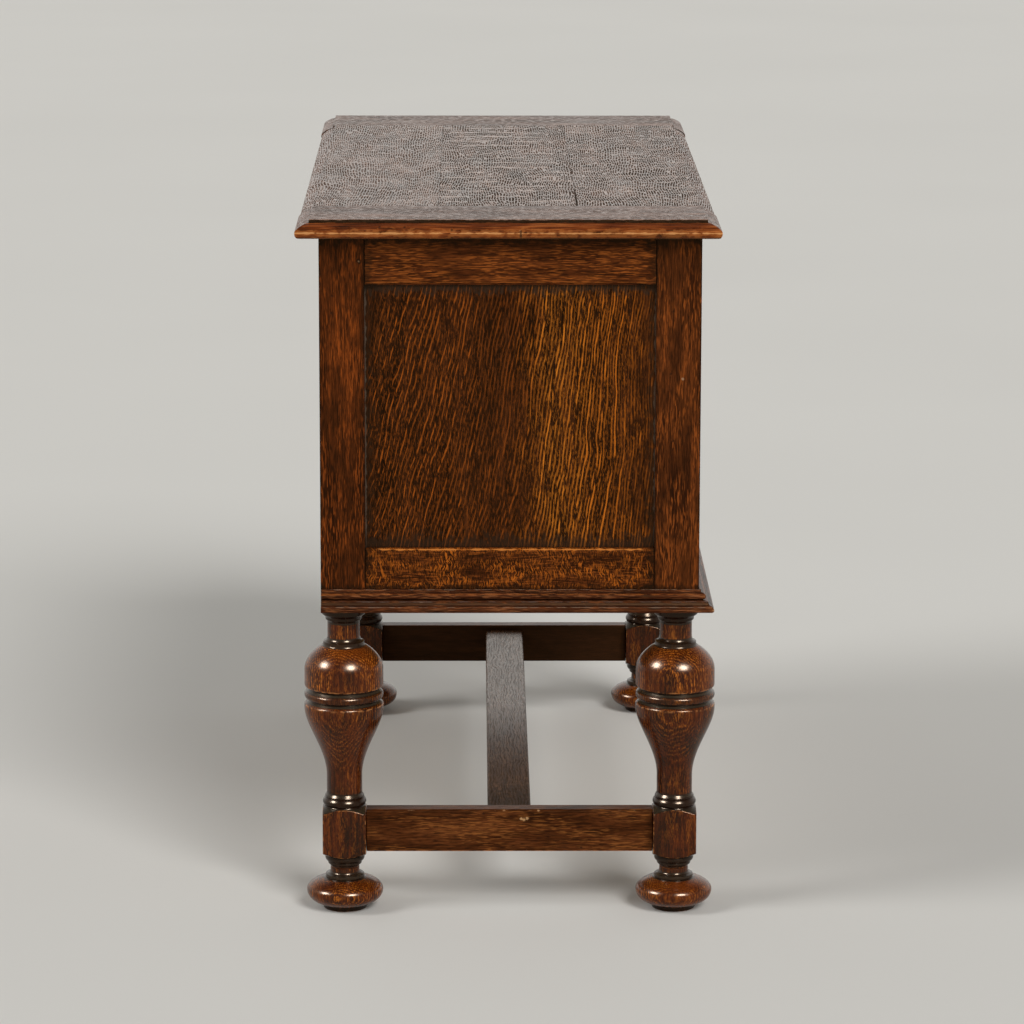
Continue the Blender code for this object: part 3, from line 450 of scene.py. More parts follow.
# End stretchers: flat rails of oak, tenoned into the leg blocks a little above the floor, where shoes and
# brooms have rubbed their arrises bare.
def board_grain(tree, along, across, shift):
    """Places on a board in metres: x across the grain, y along it, z into it, from a point of its own."""
    axes = point_axes(tree)
    depth = 3 - "XYZ".index(along) - "XYZ".index(across)
    order = {0: axes["XYZ".index(across)], 1: axes["XYZ".index(along)], 2: axes[depth]}
    straight = node(tree, "VectorMath", {0: node(tree, "CombineXYZ", order), 1: shift}, operation="ADD")
    wander = streaks(tree, straight, 70, 240, 1.0).outputs["Color"]
    sway = (0.010, 0.0, 0.010)
    return node(tree, "VectorMath", {0: wander, 1: sway, 2: straight}, operation="MULTIPLY_ADD")


ARRIS_PLANED = 0.0008


def dress(name, material, ease):
    """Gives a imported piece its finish, and eases its arrises as a plane and long use leave them."""
    obj = frame["nodes"][name]
    obj.data.materials.clear()
    obj.data.materials.append(material)
    weld = obj.modifiers.new("joined_faces", "WELD")
    weld.merge_threshold = 0.00001
    bevel = obj.modifiers.new("eased_arrises", "BEVEL")
    bevel.width = ease
    bevel.segments = 2
    bevel.limit_method = "ANGLE"
    bevel.angle_limit = math.radians(40)
    bevel.use_clamp_overlap = False
    bevel.harden_normals = True


DRY_OAK = ((0.30, "#45301C"), (0.44, "#614529"), (0.56, "#785838"), (0.74, "#967350"))


def dress_in_oak(
    piece, along, across, shift, tones, figure=None, marks=(), bare=(), gloss=0.30, level=0.14, dry=DRY_OAK,
    wood="stained_oak", ease=ARRIS_PLANED
):
    """Dresses a piece in fumed and stained oak under wax: brown tones drawn out along the grain, bright
    strokes and dark open pores, wear, dirt, painted light and painted shade along some lines, knocks, and
    dry wood on inner faces.

    A mark is the axis of its line (none for a spot), a point on it, its reach, its cover and its colour.
    A bare side is the way it faces and how far along that way it begins."""
    material, tree, shader = new_finish(wood + "_" + piece)
    spot = node(tree, "TexCoord").outputs["Object"]
    grain = board_grain(tree, along, across, shift)
    tone = streaks(tree, grain, 26, 150, 3.0)
    fibre = streaks(tree, grain, 1.3, 18, 2.0, 0.6)
    body = blended(tree, (tone, 0.55), (streaks(tree, grain, 5, 90, 2.0), 0.40), (fibre, 0.55))
    colour = node(tree, "ValToRGB", {0: body}, stops=tuple(zip((0.28, 0.40, 0.50, 0.61, 0.76), tones)))
    stroke = dashes(tree, grain, 1.05, 14, 0.51, 0.61)
    colour = painted(tree, colour, tones[4], stroke, dashes(tree, grain, 18, 60, 0.36, 0.60), 0.6)
    # The real pores are about 0.3 mm wide, drawn three times as wide so that they show
    pore = dashes(tree, grain, 0.95, 12, 0.54, 0.63)
    colour = painted(tree, colour, "#150703", pore, 0.65)
    rough = node(tree, "Math", {0: pore, 1: 0.06, 2: gloss}, operation="MULTIPLY_ADD")
    if figure:
        colour, rough = figure(tree, grain, colour, rough)
    ragged = streaks(tree, grain, 5, 9, 3.0)
    for axis, point, reach, cover, paint in marks:
        flat = [0.0 if letter == axis else 1.0 for letter in "XYZ"]
        gap = node(tree, "VectorMath", {0: spot, 1: point}, operation="SUBTRACT")
        gap = node(tree, "VectorMath", {0: gap, 1: flat}, operation="MULTIPLY")
        gap = node(tree, "VectorMath", {0: gap}, operation="LENGTH").outputs["Value"]
        # The fuller a mark covers, the straighter it runs
        loose = 6 * (1.2 - cover) * reach
        edge = node(tree, "Math", {0: ragged, 1: loose, 2: -loose / 2}, operation="MULTIPLY_ADD")
        gap = node(tree, "Math", {0: gap, 1: edge}, operation="ADD")
        mark = node(tree, "MapRange", {0: gap, 1: reach, 2: 0.3 * reach, 4: cover}, **SMOOTH)
        colour = painted(tree, colour, paint, mark)
    # Knocks of two or three millimetres, on about one in four of the patches of 40 mm
    knock = node(tree, "TexVoronoi", {"Vector": grain, "Scale": 1000 / 40}, voronoi_dimensions="2D")
    chosen = node(tree, "SeparateXYZ", {0: knock.outputs["Color"]})
    chosen = node(tree, "Math", {0: chosen, 1: 0.74}, operation="GREATER_THAN")
    dent = node(tree, "MapRange", {0: knock.outputs["Distance"], 1: 0.045, 2: 0.015})
    dent = node(tree, "Math", {0: dent, 1: chosen}, operation="MULTIPLY")
    colour = painted(tree, colour, "#2A140A", dent, 0.8)
    normal = node(tree, "TexCoord").outputs["Normal"]
    for way, begin in bare:
        facing = node(tree, "VectorMath", {0: normal, 1: way}, operation="DOT_PRODUCT")
        facing = node(tree, "MapRange", {0: facing.outputs["Value"], 1: 0.45, 2: 0.65})
        within = node(tree, "VectorMath", {0: spot, 1: way}, operation="DOT_PRODUCT")
        within = node(tree, "Math", {0: within.outputs["Value"], 1: begin}, operation="GREATER_THAN")
        facing = node(tree, "Math", {0: facing, 1: within}, operation="MULTIPLY")
        plain = node(tree, "ValToRGB", {0: body}, stops=dry)
        plain = painted(tree, plain, "#1E1208", pore, 0.45)
        colour = painted(tree, colour, plain, facing)
        rough = node(tree, "Math", {0: facing, 1: 0.35, 2: rough}, operation="MULTIPLY_ADD")
    relief = node(tree, "Math", {0: fibre, 1: -0.5, 2: pore}, operation="MULTIPLY_ADD")
    relief = node(tree, "Math", {0: dent, 1: 6.0, 2: relief}, operation="MULTIPLY_ADD")
    polish(tree, shader, colour, rough, relief, 0.00005, level, "#FFC890")
    dress(piece, material, ease)


EVERYWHERE = -9.0
# Dry inner faces of the stretchers, dark with dirt and painted shade; the right one's shows to the camera
DIRTY_AND_SHADED_OAK = ((0.3, "#1B0E06"), (0.7, "#311B0D"))
# A dark for dirt, also laid as painted shade and shadow where parts overhang or meet
DIRT_AND_SHADE = "#160C06"
RUBBED = "#B4703A"
CHIPPED = "#C79A6A"
# The large chip in each, and on the shown one its ragged ends and the chips in the top arris
CHIP = (-0.0180, 0.1000)
CHIP_ENDS = ((-0.0212, 0.1012), (-0.0150, 0.1014))
TOP_CHIPS = (0.030, 0.0132, 0.0035, -0.034)
STRETCHER_TONES = ("#200C03", "#361807", "#46220D", "#5C3117", "#8A5327")
for index, end in enumerate(("left", "right")):
    piece = "end_stretcher_" + end
    low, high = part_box(piece)
    outer, inner = (low.x, high.x) if low.x < 0 else (high.x, low.x)
    inward = 1 if low.x < 0 else -1
    marks = [("Y", (x, 0, z), 0.0007, 0.6, RUBBED) for x, z in ((outer, low.z), (inner, high.z))]
    marks.append(("Y", (outer, 0, high.z), 0.0009, 0.55, "#C89A6E"))
    marks.append(("", (outer, *CHIP), 0.0030, 0.7, CHIPPED))
    if end == "left":
        marks += [("", (outer, y, high.z), 0.0020, 0.6, "#BC8E62") for y in TOP_CHIPS]
        marks += [("", (outer, y, z), 0.0022, 0.7, CHIPPED) for y, z in CHIP_ENDS]
    # Painted shade where each end meets a leg block
    marks += [("Z", (outer, y, 0), 0.006, 0.6, DIRT_AND_SHADE) for y in (low.y, high.y)]
    dress_in_oak(
        piece, "Y", "Z", (0.4, index, 0.2), STRETCHER_TONES, marks=marks,
        bare=(((inward, 0, 0), EVERYWHERE),), dry=DIRTY_AND_SHADED_OAK
    )


# Centre stretcher: one flat oak board on its side, tenoned through the middle of both end stretchers. Shoes
# have dulled it, and dust lies in its open grain.
def dull_waves(tree, grain, colour, rough):
    """Adds wavy rings, dulled by dust where the wood is open."""
    ring_width = 3.4
    ring = node(tree, "SeparateXYZ", {0: grain}).outputs[0]
    wave = streaks(tree, grain, 16, 60, 2.0)
    ring = node(tree, "Math", {0: wave, 1: 0.016, 2: ring}, operation="MULTIPLY_ADD")
    ring = node(tree, "Math", {0: ring, 1: 1000 / ring_width}, operation="MULTIPLY")
    ring = node(tree, "Math", {0: ring, 1: 0.5}, operation="PINGPONG")
    open_wood = node(tree, "MapRange", {0: ring, 1: 0.15, 2: 0.35}, **SMOOTH)
    broken = dashes(tree, grain, 2.0, 30, 0.36, 0.56)
    open_wood = node(tree, "Math", {0: open_wood, 1: broken}, operation="MULTIPLY")
    colour = painted(tree, colour, "#120A06", open_wood, 0.35)
    # Feet and brooms have dulled the half that is nearest the shown end
    along = point_axes(tree)[0]
    worn = node(tree, "MapRange", {0: along, 1: -0.40, 2: 0.10, 3: 0.34, 4: 0.0}, **SMOOTH)
    rough = node(tree, "Math", {0: open_wood, 1: 0.12, 2: rough}, operation="MULTIPLY_ADD")
    return colour, node(tree, "Math", {0: worn, 1: rough}, operation="ADD")


piece = "centre_stretcher"
low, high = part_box(piece)
marks = [("X", (0, y, high.z), 0.0008, 0.6, RUBBED) for y in (low.y, high.y)]
# Painted shade on the top of the 160 mm nearest the shown end
marks.append(("Y", (low.x, 0, high.z), 0.16, 0.8, DIRT_AND_SHADE))
CENTRE_TONES = ("#1E1009", "#301C11", "#3E2718", "#523724", "#6E4D34")
dress_in_oak(piece, "X", "Y", (0.9, 0.3, 0.1), CENTRE_TONES, dull_waves, marks, gloss=0.26, level=0.45)


# Corner posts: the stiles of the ends, square oak uprights grooved for the panels and mortised for the
# rails, with the leg dowels driven into their feet.
POST_TONES = ("#1D0902", "#2C1104", "#3B1A07", "#50240B", "#8E4416")
FRONT_POST_TONES = ("#220C04", "#341607", "#45210B", "#5D2D11", "#9C501E")
PANEL_BACK = 0.0152
PEG = (0.1580, 0.7134)
KNOCK = (-0.1855, 0.5876)
MOULDING_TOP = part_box("base_moulding_left")[1].z
for index, leg_name in enumerate(LEG_NAMES):
    piece = "corner_post_" + leg_name
    low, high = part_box(piece)
    way_x = 1 if low.x < 0 else -1
    way_y = 1 if low.y < 0 else -1
    outer_x, inner_x = (low.x, high.x) if low.x < 0 else (high.x, low.x)
    outer_y, inner_y = (low.y, high.y) if low.y < 0 else (high.y, low.y)
    inwards = Vector((way_x, way_y, 0)).normalized()
    inside = (inner_x * way_x + outer_y * way_y + PANEL_BACK) / math.sqrt(2)
    marks = [("Z", (outer_x, outer_y, 0), 0.0016, 0.7, DIRT_AND_SHADE)]
    marks += [("Z", (x, y, 0), 0.0022, 0.75, DIRT_AND_SHADE) for x, y in ((outer_x, inner_y), (inner_x, outer_y))]
    # Dirt along the top of the base moulding, and painted shadow under the overhang of the lid
    for axis, x, y in (("Y", outer_x, 0), ("X", 0, outer_y)):
        marks += [(axis, (x, y, MOULDING_TOP), 0.005, 0.6, DIRT_AND_SHADE), (axis, (x, y, high.z), 0.011, 0.85, DIRT_AND_SHADE)]
    if leg_name == "back_left":
        peg = (outer_x, *PEG)
        marks += [("", peg, 0.0040, 0.95, "#0C0603"), ("", peg, 0.0017, 0.95, "#6A4E38")]
    if leg_name == "front_left":
        marks.append(("", (outer_x, *KNOCK), 0.0016, 0.8, "#9A7A5C"))
    tones = FRONT_POST_TONES if way_y > 0 else POST_TONES
    shift = (0.2 * index, 0.5, 1.3)
    dress_in_oak(piece, "Z", "Y", shift, tones, marks=marks, bare=((inwards, inside),))


# Rails and muntins: planed oak, tenoned and glued, with stopped chamfers along the panels. The bottom rails
# are cut so that the rays of the wood show as a mottle.
RAIL_TONES = {
    "top_rail": ("#270E04", "#3B1907", "#4D240D", "#663314", "#A85B24"),
    "bottom_rail": ("#1E0A02", "#301305", "#401C09", "#572A0F", "#964F1C"),
}
CHAMFER = 0.003
INWARD = {"left_end": (1, 0, 0), "right_end": (-1, 0, 0), "front": (0, 1, 0), "back": (0, -1, 0)}


def ray_mottle(tree, grain, colour, rough):
    """Adds the short bright flecks that a slanting cut through the rays leaves across a rail."""
    slant = math.radians(86)
    shake = (0.010, 0.010, 0)
    tilted = node(tree, "VectorRotate", {"Vector": grain, "Angle": slant}, rotation_type="Z_AXIS")
    shiver = streaks(tree, grain, 12, 16, 2.0).outputs["Color"]
    tilted = node(tree, "VectorMath", {0: shiver, 1: shake, 2: tilted}, operation="MULTIPLY_ADD")
    patch = streaks(tree, grain, 14, 34, 2.0)
    patch = node(tree, "MapRange", {0: patch, 1: 0.36, 2: 0.60, 3: 0.06, 4: 1.0})
    fleck = dashes(tree, tilted, 1.15, 7, 0.50, 0.60)
    gap = dashes(tree, tilted, 1.1, 6, 0.51, 0.60)
    colour = painted(tree, colour, "#AE5C1A", fleck, patch, 0.9)
    return painted(tree, colour, "#1A0A03", gap, 0.8), rough


near_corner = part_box("corner_post_front_left")[1]
far_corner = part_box("corner_post_back_right")[0]
for index, (side, inward) in enumerate(INWARD.items()):
    along = "Y" if side.endswith("end") else "X"
    for row, rail in enumerate(("top_rail", "bottom_rail")):
        piece = side + "_" + rail
        low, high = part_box(piece)
        x = low.x if inward[0] > 0 else high.x
        y = low.y if inward[1] > 0 else high.y
        foot = MOULDING_TOP if side != "back" else low.z
        if row:
            # A painted highlight along the upturned chamfer of the bottom rail, and dirt along its foot
            bright = (x + 0.4 * CHAMFER * inward[0], y + 0.4 * CHAMFER * inward[1], high.z - 0.5 * CHAMFER)
            marks = [(along, bright, 0.0013, 0.7, "#D0803A"), (along, (x, y, foot), 0.006, 0.7, DIRT_AND_SHADE)]
        else:
            marks = [(along, (x, y, low.z + CHAMFER), 0.0008, 0.35, "#A85E24")]
            # Painted shadow under the lid, and a dark line of gap and painted shade along the panel's top
            marks.append((along, (x, y, high.z), 0.011, 0.85, DIRT_AND_SHADE))
            marks.append((along, (x, y, low.z), 0.0026, 0.9, "#0C0603"))
        if along == "Y":
            joints = [(x, corner.y, 0) for corner in (near_corner, far_corner)]
        else:
            joints = [(corner.x, y, 0) for corner in (near_corner, far_corner)]
        marks += [("Z", joint, 0.010, 0.6, DIRT_AND_SHADE) for joint in joints]
        marks += [("Z", joint, 0.0016, 0.9, DIRT_AND_SHADE) for joint in joints]
        shift = (0.3 * index, 0.6 * row, 0.8)
        figure = ray_mottle if row else None
        dress_in_oak(piece, along, "Z", shift, RAIL_TONES[rail], figure, marks, ((inward, EVERYWHERE),))
for index, piece in enumerate(("front_muntin_left", "front_muntin_right", "back_muntin")):
    inward = INWARD[piece.split("_")[0]]
    shift = (0.7, 0.4 * index, 0.5)
    dress_in_oak(piece, "Z", "X", shift, POST_TONES, bare=((inward, EVERYWHERE),))


# Panels: thin boards of quartered oak, held loose in the grooves of the frame. Their growth rings are
# cut almost on edge, so they show as thin bright lines that lean over and crowd towards one side.
PANEL_TONES = ("#0D0401", "#180802", "#231005", "#331809", "#542A10")
PANEL_TONGUE = 0.0077
PANELS = {"left_end_panel": ("Y", -1), "right_end_panel": ("Y", 1), "front_panel_left": ("X", 1),
          "front_panel_middle": ("X", -1), "front_panel_right": ("X", -1), "back_panel_left": ("X", 1),
          "back_panel_right": ("X", -1)}


def ring_lines(across, start, way, middle):
    """Adds the bright growth rings of a board, wide at its start and narrower on the way across."""
    rings_per_metre = 160
    crowding = 240

    def figure(tree, grain, colour, rough):
        axes = point_axes(tree)
        place = axes["XYZ".index(across)]
        away = node(tree, "Math", {0: place, 1: way, 2: -way * start}, operation="MULTIPLY_ADD")
        up = node(tree, "Math", {0: axes[2], 1: middle}, operation="SUBTRACT")
        # The lines lean 18 degrees at the start and stand almost upright at the crowded side
        lean = node(tree, "Math", {0: away, 1: 0.85, 2: -0.32}, operation="MULTIPLY_ADD")
        sway = streaks(tree, grain, 50, 110, 2.0)
        shiver = streaks(tree, grain, 6, 22, 1.0)
        line = node(tree, "Math", {0: lean, 1: up, 2: away}, operation="MULTIPLY_ADD")
        line = node(tree, "Math", {0: sway, 1: 0.018, 2: line}, operation="MULTIPLY_ADD")
        line = node(tree, "Math", {0: shiver, 1: 0.0024, 2: line}, operation="MULTIPLY_ADD")
        count = node(tree, "Math", {0: line, 1: crowding, 2: rings_per_metre}, operation="MULTIPLY_ADD")
        count = node(tree, "Math", {0: count, 1: line}, operation="MULTIPLY")
        number = node(tree, "Math", {0: count}, operation="FLOOR")
        ring = node(tree, "TexWhiteNoise", {"W": number}, noise_dimensions="1D")
        ring = node(tree, "MapRange", {0: ring.outputs["Value"], 3: 0.18, 4: 1.0})
        ridge = node(tree, "Math", {0: count, 1: 0.5}, operation="PINGPONG")
        thin = node(tree, "MapRange", {0: away, 1: 0.0, 2: 0.20, 3: 0.36, 4: 0.16})
        ridge = node(tree, "MapRange", {0: ridge, 1: thin, 2: 0.46}, **SMOOTH)
        cloud = streaks(tree, grain, 20, 34, 3.0)
        share = node(tree, "Math", {0: cloud, 1: 0.07, 2: away}, operation="MULTIPLY_ADD")
        share = node(tree, "Math", {0: share, 1: 3.2, 2: -0.11}, operation="MULTIPLY_ADD")
        bright = node(tree, "ValToRGB", {0: share}, stops=(
            (0.00, "#808080"), (0.06, "#CCCCCC"), (0.34, "#C4C4C4"), (0.44, "#9E9E9E"), (0.52, "#AEAEAE"),
            (0.62, "#F4F4F4"), (0.90, "#E4E4E4"), (0.97, "#909090"),
        ))
        paint = node(tree, "ValToRGB", {0: share}, stops=(
            (0.30, "#C0621C"), (0.50, "#B85C1A"), (0.64, "#DC8026"), (0.80, "#D67620"), (0.95, "#C0661A"),
        ))
        broken = dashes(tree, grain, 2.4, 30, 0.38, 0.54)
        colour = painted(tree, colour, paint, ridge, ring, broken, bright)
        fine = dashes(tree, grain, 1.0, 5, 0.54, 0.64)
        return painted(tree, colour, paint, fine, bright, 0.26), rough

    return figure


for index, (piece, (across, way)) in enumerate(PANELS.items()):
    low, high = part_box(piece)
    inward = INWARD[piece.split("_panel")[0]]
    shift = (0.15 * index, 1.1, 0.25 * index)
    axis = "XYZ".index(across)
    middle = (low.z + high.z) / 2
    start = (low if way > 0 else high)[axis] + way * PANEL_TONGUE
    end = (high if way > 0 else low)[axis] - way * PANEL_TONGUE
    face = [low.x if inward[0] > 0 else high.x, low.y if inward[1] > 0 else high.y, 0]
    marks = []
    for edge in (start, end):
        point = list(face)
        point[axis] = edge
        marks += [("Z", point, 0.009, 0.6, "#26190F"), ("Z", point, 0.0018, 0.65, "#5E5146")]
    marks.append((across, (face[0], face[1], low.z + PANEL_TONGUE), 0.017, 0.7, "#2A1D14"))
    marks.append((across, (face[0], face[1], high.z - PANEL_TONGUE), 0.012, 0.75, "#2E231B"))
    figure = ring_lines(across, start, way, middle)
    dress_in_oak(piece, "Z", across, shift, PANEL_TONES, figure, marks, ((inward, EVERYWHERE),))


# Bottom: sawn deal boards, left bare and notched round the posts. They lie on four ledgers that are nailed
# inside the rails.
# Deal has the same streaks in pale tones, and stays rough from the saw
DEAL_TONES = ("#7A5830", "#957040", "#A8824E", "#BC9762", "#CDAA78")
SAWN = {"gloss": 0.65, "wood": "sawn_deal"}
for index, place in enumerate(("front", "middle", "back")):
    piece = "bottom_board_" + place
    dress_in_oak(piece, "X", "Y", (0.3, 0.2, 0.6 * index), DEAL_TONES, **SAWN)
for index, side in enumerate(INWARD):
    piece = "bottom_ledger_" + side
    along = "Y" if side.endswith("end") else "X"
    dress_in_oak(piece, along, "Z", (0.3 * index, 0.2, 0.6), DEAL_TONES, **SAWN)


# Base moulding: a run of oak moulding planed with a bead and a hollow, mitred at the front corners and
# pinned to the bottom rails. Pale lines of painted highlight lie along its arrises and upturned fillets,
# and its quirks and hollow are dark with dirt and painted shade.
MOULDING_TONES = ("#200B05", "#331509", "#45200F", "#5B2F18", "#8E5734")
MOULDING_EASE = 0.0004
MOULDING_LIGHT_SHADE_AND_WEAR = (
    (0.13, 1.00, 0.0008, 0.40, "#7C6A5A"), (0.19, 0.885, 0.0012, 0.90, DIRT_AND_SHADE),
    (0.40, 0.80, 0.0007, 0.50, "#9A5726"), (0.28, 0.53, 0.0016, 0.90, "#0E0704"),
    (0.66, 0.375, 0.0046, 0.80, "#22100A"), (0.60, 0.50, 0.0006, 0.45, "#84746A"),
    (0.90, 0.28, 0.0006, 0.45, "#84705F"),
)


def edge_marks(lines, along, start, end, low, high):
    """Wear, dirt, painted light and painted shade along a moulded edge. A line is its share of the way from
    start to end and of the height, its reach, its cover and its colour."""
    marks = []
    for share, height, reach, cover, paint in lines:
        x = start[0] + share * (end[0] - start[0])
        y = start[1] + share * (end[1] - start[1])
        marks.append((along, (x, y, low.z + height * (high.z - low.z)), reach, cover, paint))
    return marks


front_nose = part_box("base_moulding_front")[0].y
for index, (side, outward) in enumerate({"left": (-1, 0), "front": (0, -1), "right": (1, 0)}.items()):
    piece = "base_moulding_" + side
    along = "X" if side == "front" else "Y"
    low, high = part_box(piece)
    nose = (low.x if outward[0] < 0 else high.x, low.y)
    root = (high.x if outward[0] < 0 else low.x, high.y)
    marks = edge_marks(MOULDING_LIGHT_SHADE_AND_WEAR, along, root, nose, low, high)
    # The mitred corners are knocked pale
    marks += [("", (x, front_nose, low.z + 0.003), 0.0035, 0.7, "#C49C72") for x in (low.x, high.x)]
    shift = (0.3, 0.3 * index, 1.6)
    dress_in_oak(piece, along, "Z", shift, MOULDING_TONES, marks=marks, level=0.1, ease=MOULDING_EASE)


# Lid boards: three wide boards of quartered oak, glued edge to edge and moulded along the outer edges.
# Their polish has sunk into the open pores, and one joint has opened at the shown end.
LID_TONES = ("#2E1407", "#40200D", "#522B14", "#683A1D", "#8A5632")
LID_EDGE = 0.015
STEP_DEPTH = 0.0030
UNDERSIDE_SKIN = 0.0004
CRISP = 0.0001


def moulded_edge(tree, grain, colour, top, way):
    """Adds the golden wood of a moulded edge, where hands have worn the stain down to streaks. It is most
    worn on the faces turned one way."""
    height = point_axes(tree)[2]
    edge = node(tree, "MapRange", {0: height, 1: top - STEP_DEPTH, 2: top - STEP_DEPTH - 0.0008})
    normal = node(tree, "TexCoord").outputs["Normal"]
    facing = node(tree, "VectorMath", {0: normal, 1: way}, operation="DOT_PRODUCT")
    facing = node(tree, "MapRange", {0: facing.outputs["Value"], 1: 0.05, 2: 0.30, 3: 0.25, 4: 1.0})
    fibre = streaks(tree, grain, 1.5, 40, 3.0)
    worn = blended(tree, (fibre, 0.8), (streaks(tree, grain, 12, 50, 2.0), 0.6))
    worn = node(tree, "ValToRGB", {0: worn}, stops=(
        (0.32, "#2A0F05"), (0.46, "#58260D"), (0.56, "#733513"), (0.70, "#A05A2A"),
    ))
    return painted(tree, colour, worn, edge, facing)


def open_pores(tree, grain, pore_length):
    """Short open pores in rows along a board. The real rows stand about a millimetre apart, drawn wider so
    that they show."""
    row_width = 2.7
    places = node(tree, "SeparateXYZ", {0: grain}).outputs
    sway = streaks(tree, grain, 60, 120, 2.0)
    row = node(tree, "Math", {0: sway, 1: 0.018, 2: places[0]}, operation="MULTIPLY_ADD")
    row = node(tree, "Math", {0: row, 1: 1000 / row_width}, operation="MULTIPLY")
    ridge = node(tree, "Math", {0: row, 1: 0.5}, operation="PINGPONG")
    ridge = node(tree, "MapRange", {0: ridge, 1: 0.10, 2: 0.26}, **SMOOTH)
    row = node(tree, "Math", {0: row}, operation="FLOOR")
    begin = node(tree, "TexWhiteNoise", {"W": row}, noise_dimensions="1D").outputs["Value"]
    uneven = streaks(tree, grain, 9, 40, 1.0)
    run = node(tree, "Math", {0: places[1], 1: 1000 / pore_length, 2: begin}, operation="MULTIPLY_ADD")
    run = node(tree, "Math", {0: uneven, 1: 2.4, 2: run}, operation="MULTIPLY_ADD")
    run = node(tree, "Math", {0: run, 1: 0.5}, operation="PINGPONG")
    run = node(tree, "MapRange", {0: run, 1: 0.06, 2: 0.18}, **SMOOTH)
    patch = streaks(tree, grain, 22, 70, 3.0)
    patch = node(tree, "MapRange", {0: patch, 1: 0.36, 2: 0.60, 3: 0.45, 4: 1.0})
    pore = node(tree, "Math", {0: ridge, 1: run}, operation="MULTIPLY")
    return node(tree, "Math", {0: pore, 1: patch}, operation="MULTIPLY")


def quartered_oak(top, pores, rays, crack):
    """Adds open pores, dull between glossy ridges, the pale wavy ribbons of the rays across the board,
    which have none, and the dark of a joint that has opened at one end."""
    ribbon_spacing = 42
    half_crack = 0.0009

    def figure(tree, grain, colour, rough):
        along = node(tree, "SeparateXYZ", {0: grain}).outputs[1]
        sway = streaks(tree, grain, 80, 110, 3.0)
        ribbon = node(tree, "Math", {0: sway, 1: 0.050, 2: along}, operation="MULTIPLY_ADD")
        ribbon = node(tree, "Math", {0: ribbon, 1: 1000 / ribbon_spacing}, operation="MULTIPLY")
        ribbon = node(tree, "Math", {0: ribbon, 1: 0.5}, operation="PINGPONG")
        ribbon = node(tree, "MapRange", {0: ribbon, 1: 0.38, 2: 0.46}, **SMOOTH)
        spot = point_axes(tree)
        flat = node(tree, "MapRange", {0: spot[2], 1: top - STEP_DEPTH, 2: top - 0.0010})
        for cover in (dashes(tree, grain, 34, 40, 0.44, 0.56), flat, rays):
            ribbon = node(tree, "Math", {0: ribbon, 1: cover}, operation="MULTIPLY")
        pore = node(tree, "Math", {0: open_pores(tree, grain, 24), 1: pores}, operation="MULTIPLY")
        beside = node(tree, "Math", {0: 1.0, 1: ribbon}, operation="SUBTRACT")
        pore = node(tree, "Math", {0: pore, 1: beside}, operation="MULTIPLY")
        colour = painted(tree, colour, "#100704", pore, 0.92)
        colour = painted(tree, colour, "#835634", ribbon, dashes(tree, grain, 1.8, 26, 0.34, 0.60), 0.7)
        if crack is not None:
            gap = node(tree, "Math", {0: spot[1], 1: crack, 2: half_crack}, operation="COMPARE")
            near_end = node(tree, "MapRange", {0: spot[0], 1: -0.22, 2: -0.28})
            gap = node(tree, "Math", {0: gap, 1: near_end}, operation="MULTIPLY")
            colour = painted(tree, colour, "#0A0604", gap)
            pore = node(tree, "Math", {0: pore, 1: gap}, operation="MAXIMUM")
        rough = node(tree, "Math", {0: pore, 1: 0.70, 2: rough}, operation="MULTIPLY_ADD")
        return moulded_edge(tree, grain, colour, top, (0, 0, 0)), rough

    return figure


far_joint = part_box("lid_cleat_right")[0].x


def notch_marks(nose, way, top):
    """The dark notch in a long edge of the lid, where a board has shrunk back from the right cleat."""
    spots = ((0.004, 0.009), (0.011, 0.005))
    return [("", (far_joint, nose + way * far, top - down), 0.006, 0.9, "#0C0806") for far, down in spots]


BOARD_FIGURES = {"front": (1.0, 0.7), "middle": (1.0, 1.0), "back": (0.70, 0.4)}
for index, (place, (pores, rays)) in enumerate(BOARD_FIGURES.items()):
    piece = "lid_board_" + place
    low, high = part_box(piece)
    marks = []
    crack = {"front": high.y, "middle": low.y, "back": None}[place]
    if place != "middle":
        way = 1 if place == "front" else -1
        nose = low.y if way > 0 else high.y
        marks.append(("X", (0, nose + way * LID_EDGE, high.z - 0.0016), 0.0018, 0.45, DIRT_AND_SHADE))
        marks += notch_marks(nose, way, high.z)
    figure = quartered_oak(high.z, pores, rays, crack)
    underside = ((0, 0, -1), -low.z - UNDERSIDE_SKIN)
    dress_in_oak(
        piece, "X", "Y", (0.4 * index, 0.5, 2.1), LID_TONES, figure, marks, (underside,),
        gloss=0.21, level=0.5, ease=CRISP
    )


# Lid cleats: plainer oak boards across the ends of the lid, tongued on to keep it flat, with the same
# moulded edge. Hands have worn their noses golden, and painted light makes them brighter.
CLEAT_TONES = ("#3A1A0B", "#4C2612", "#5E321A", "#744226", "#94603E")
# Dirt under the step, a painted highlight on its arris, the golden nose, worn and brightened by painted
# light, with a line of painted highlight, and painted shade below
CLEAT_WEAR_LIGHT_AND_SHADE = (
    (0.985, 0.90, 0.0032, 0.95, "#0C0604"), (1.00, 1.00, 0.0007, 0.45, "#C89A82"),
    (0.00, 0.30, 0.0055, 0.46, "#A8622E"), (0.00, 0.335, 0.0010, 0.55, "#E0A266"),
    (0.30, 0.00, 0.0036, 0.90, DIRT_AND_SHADE),
)


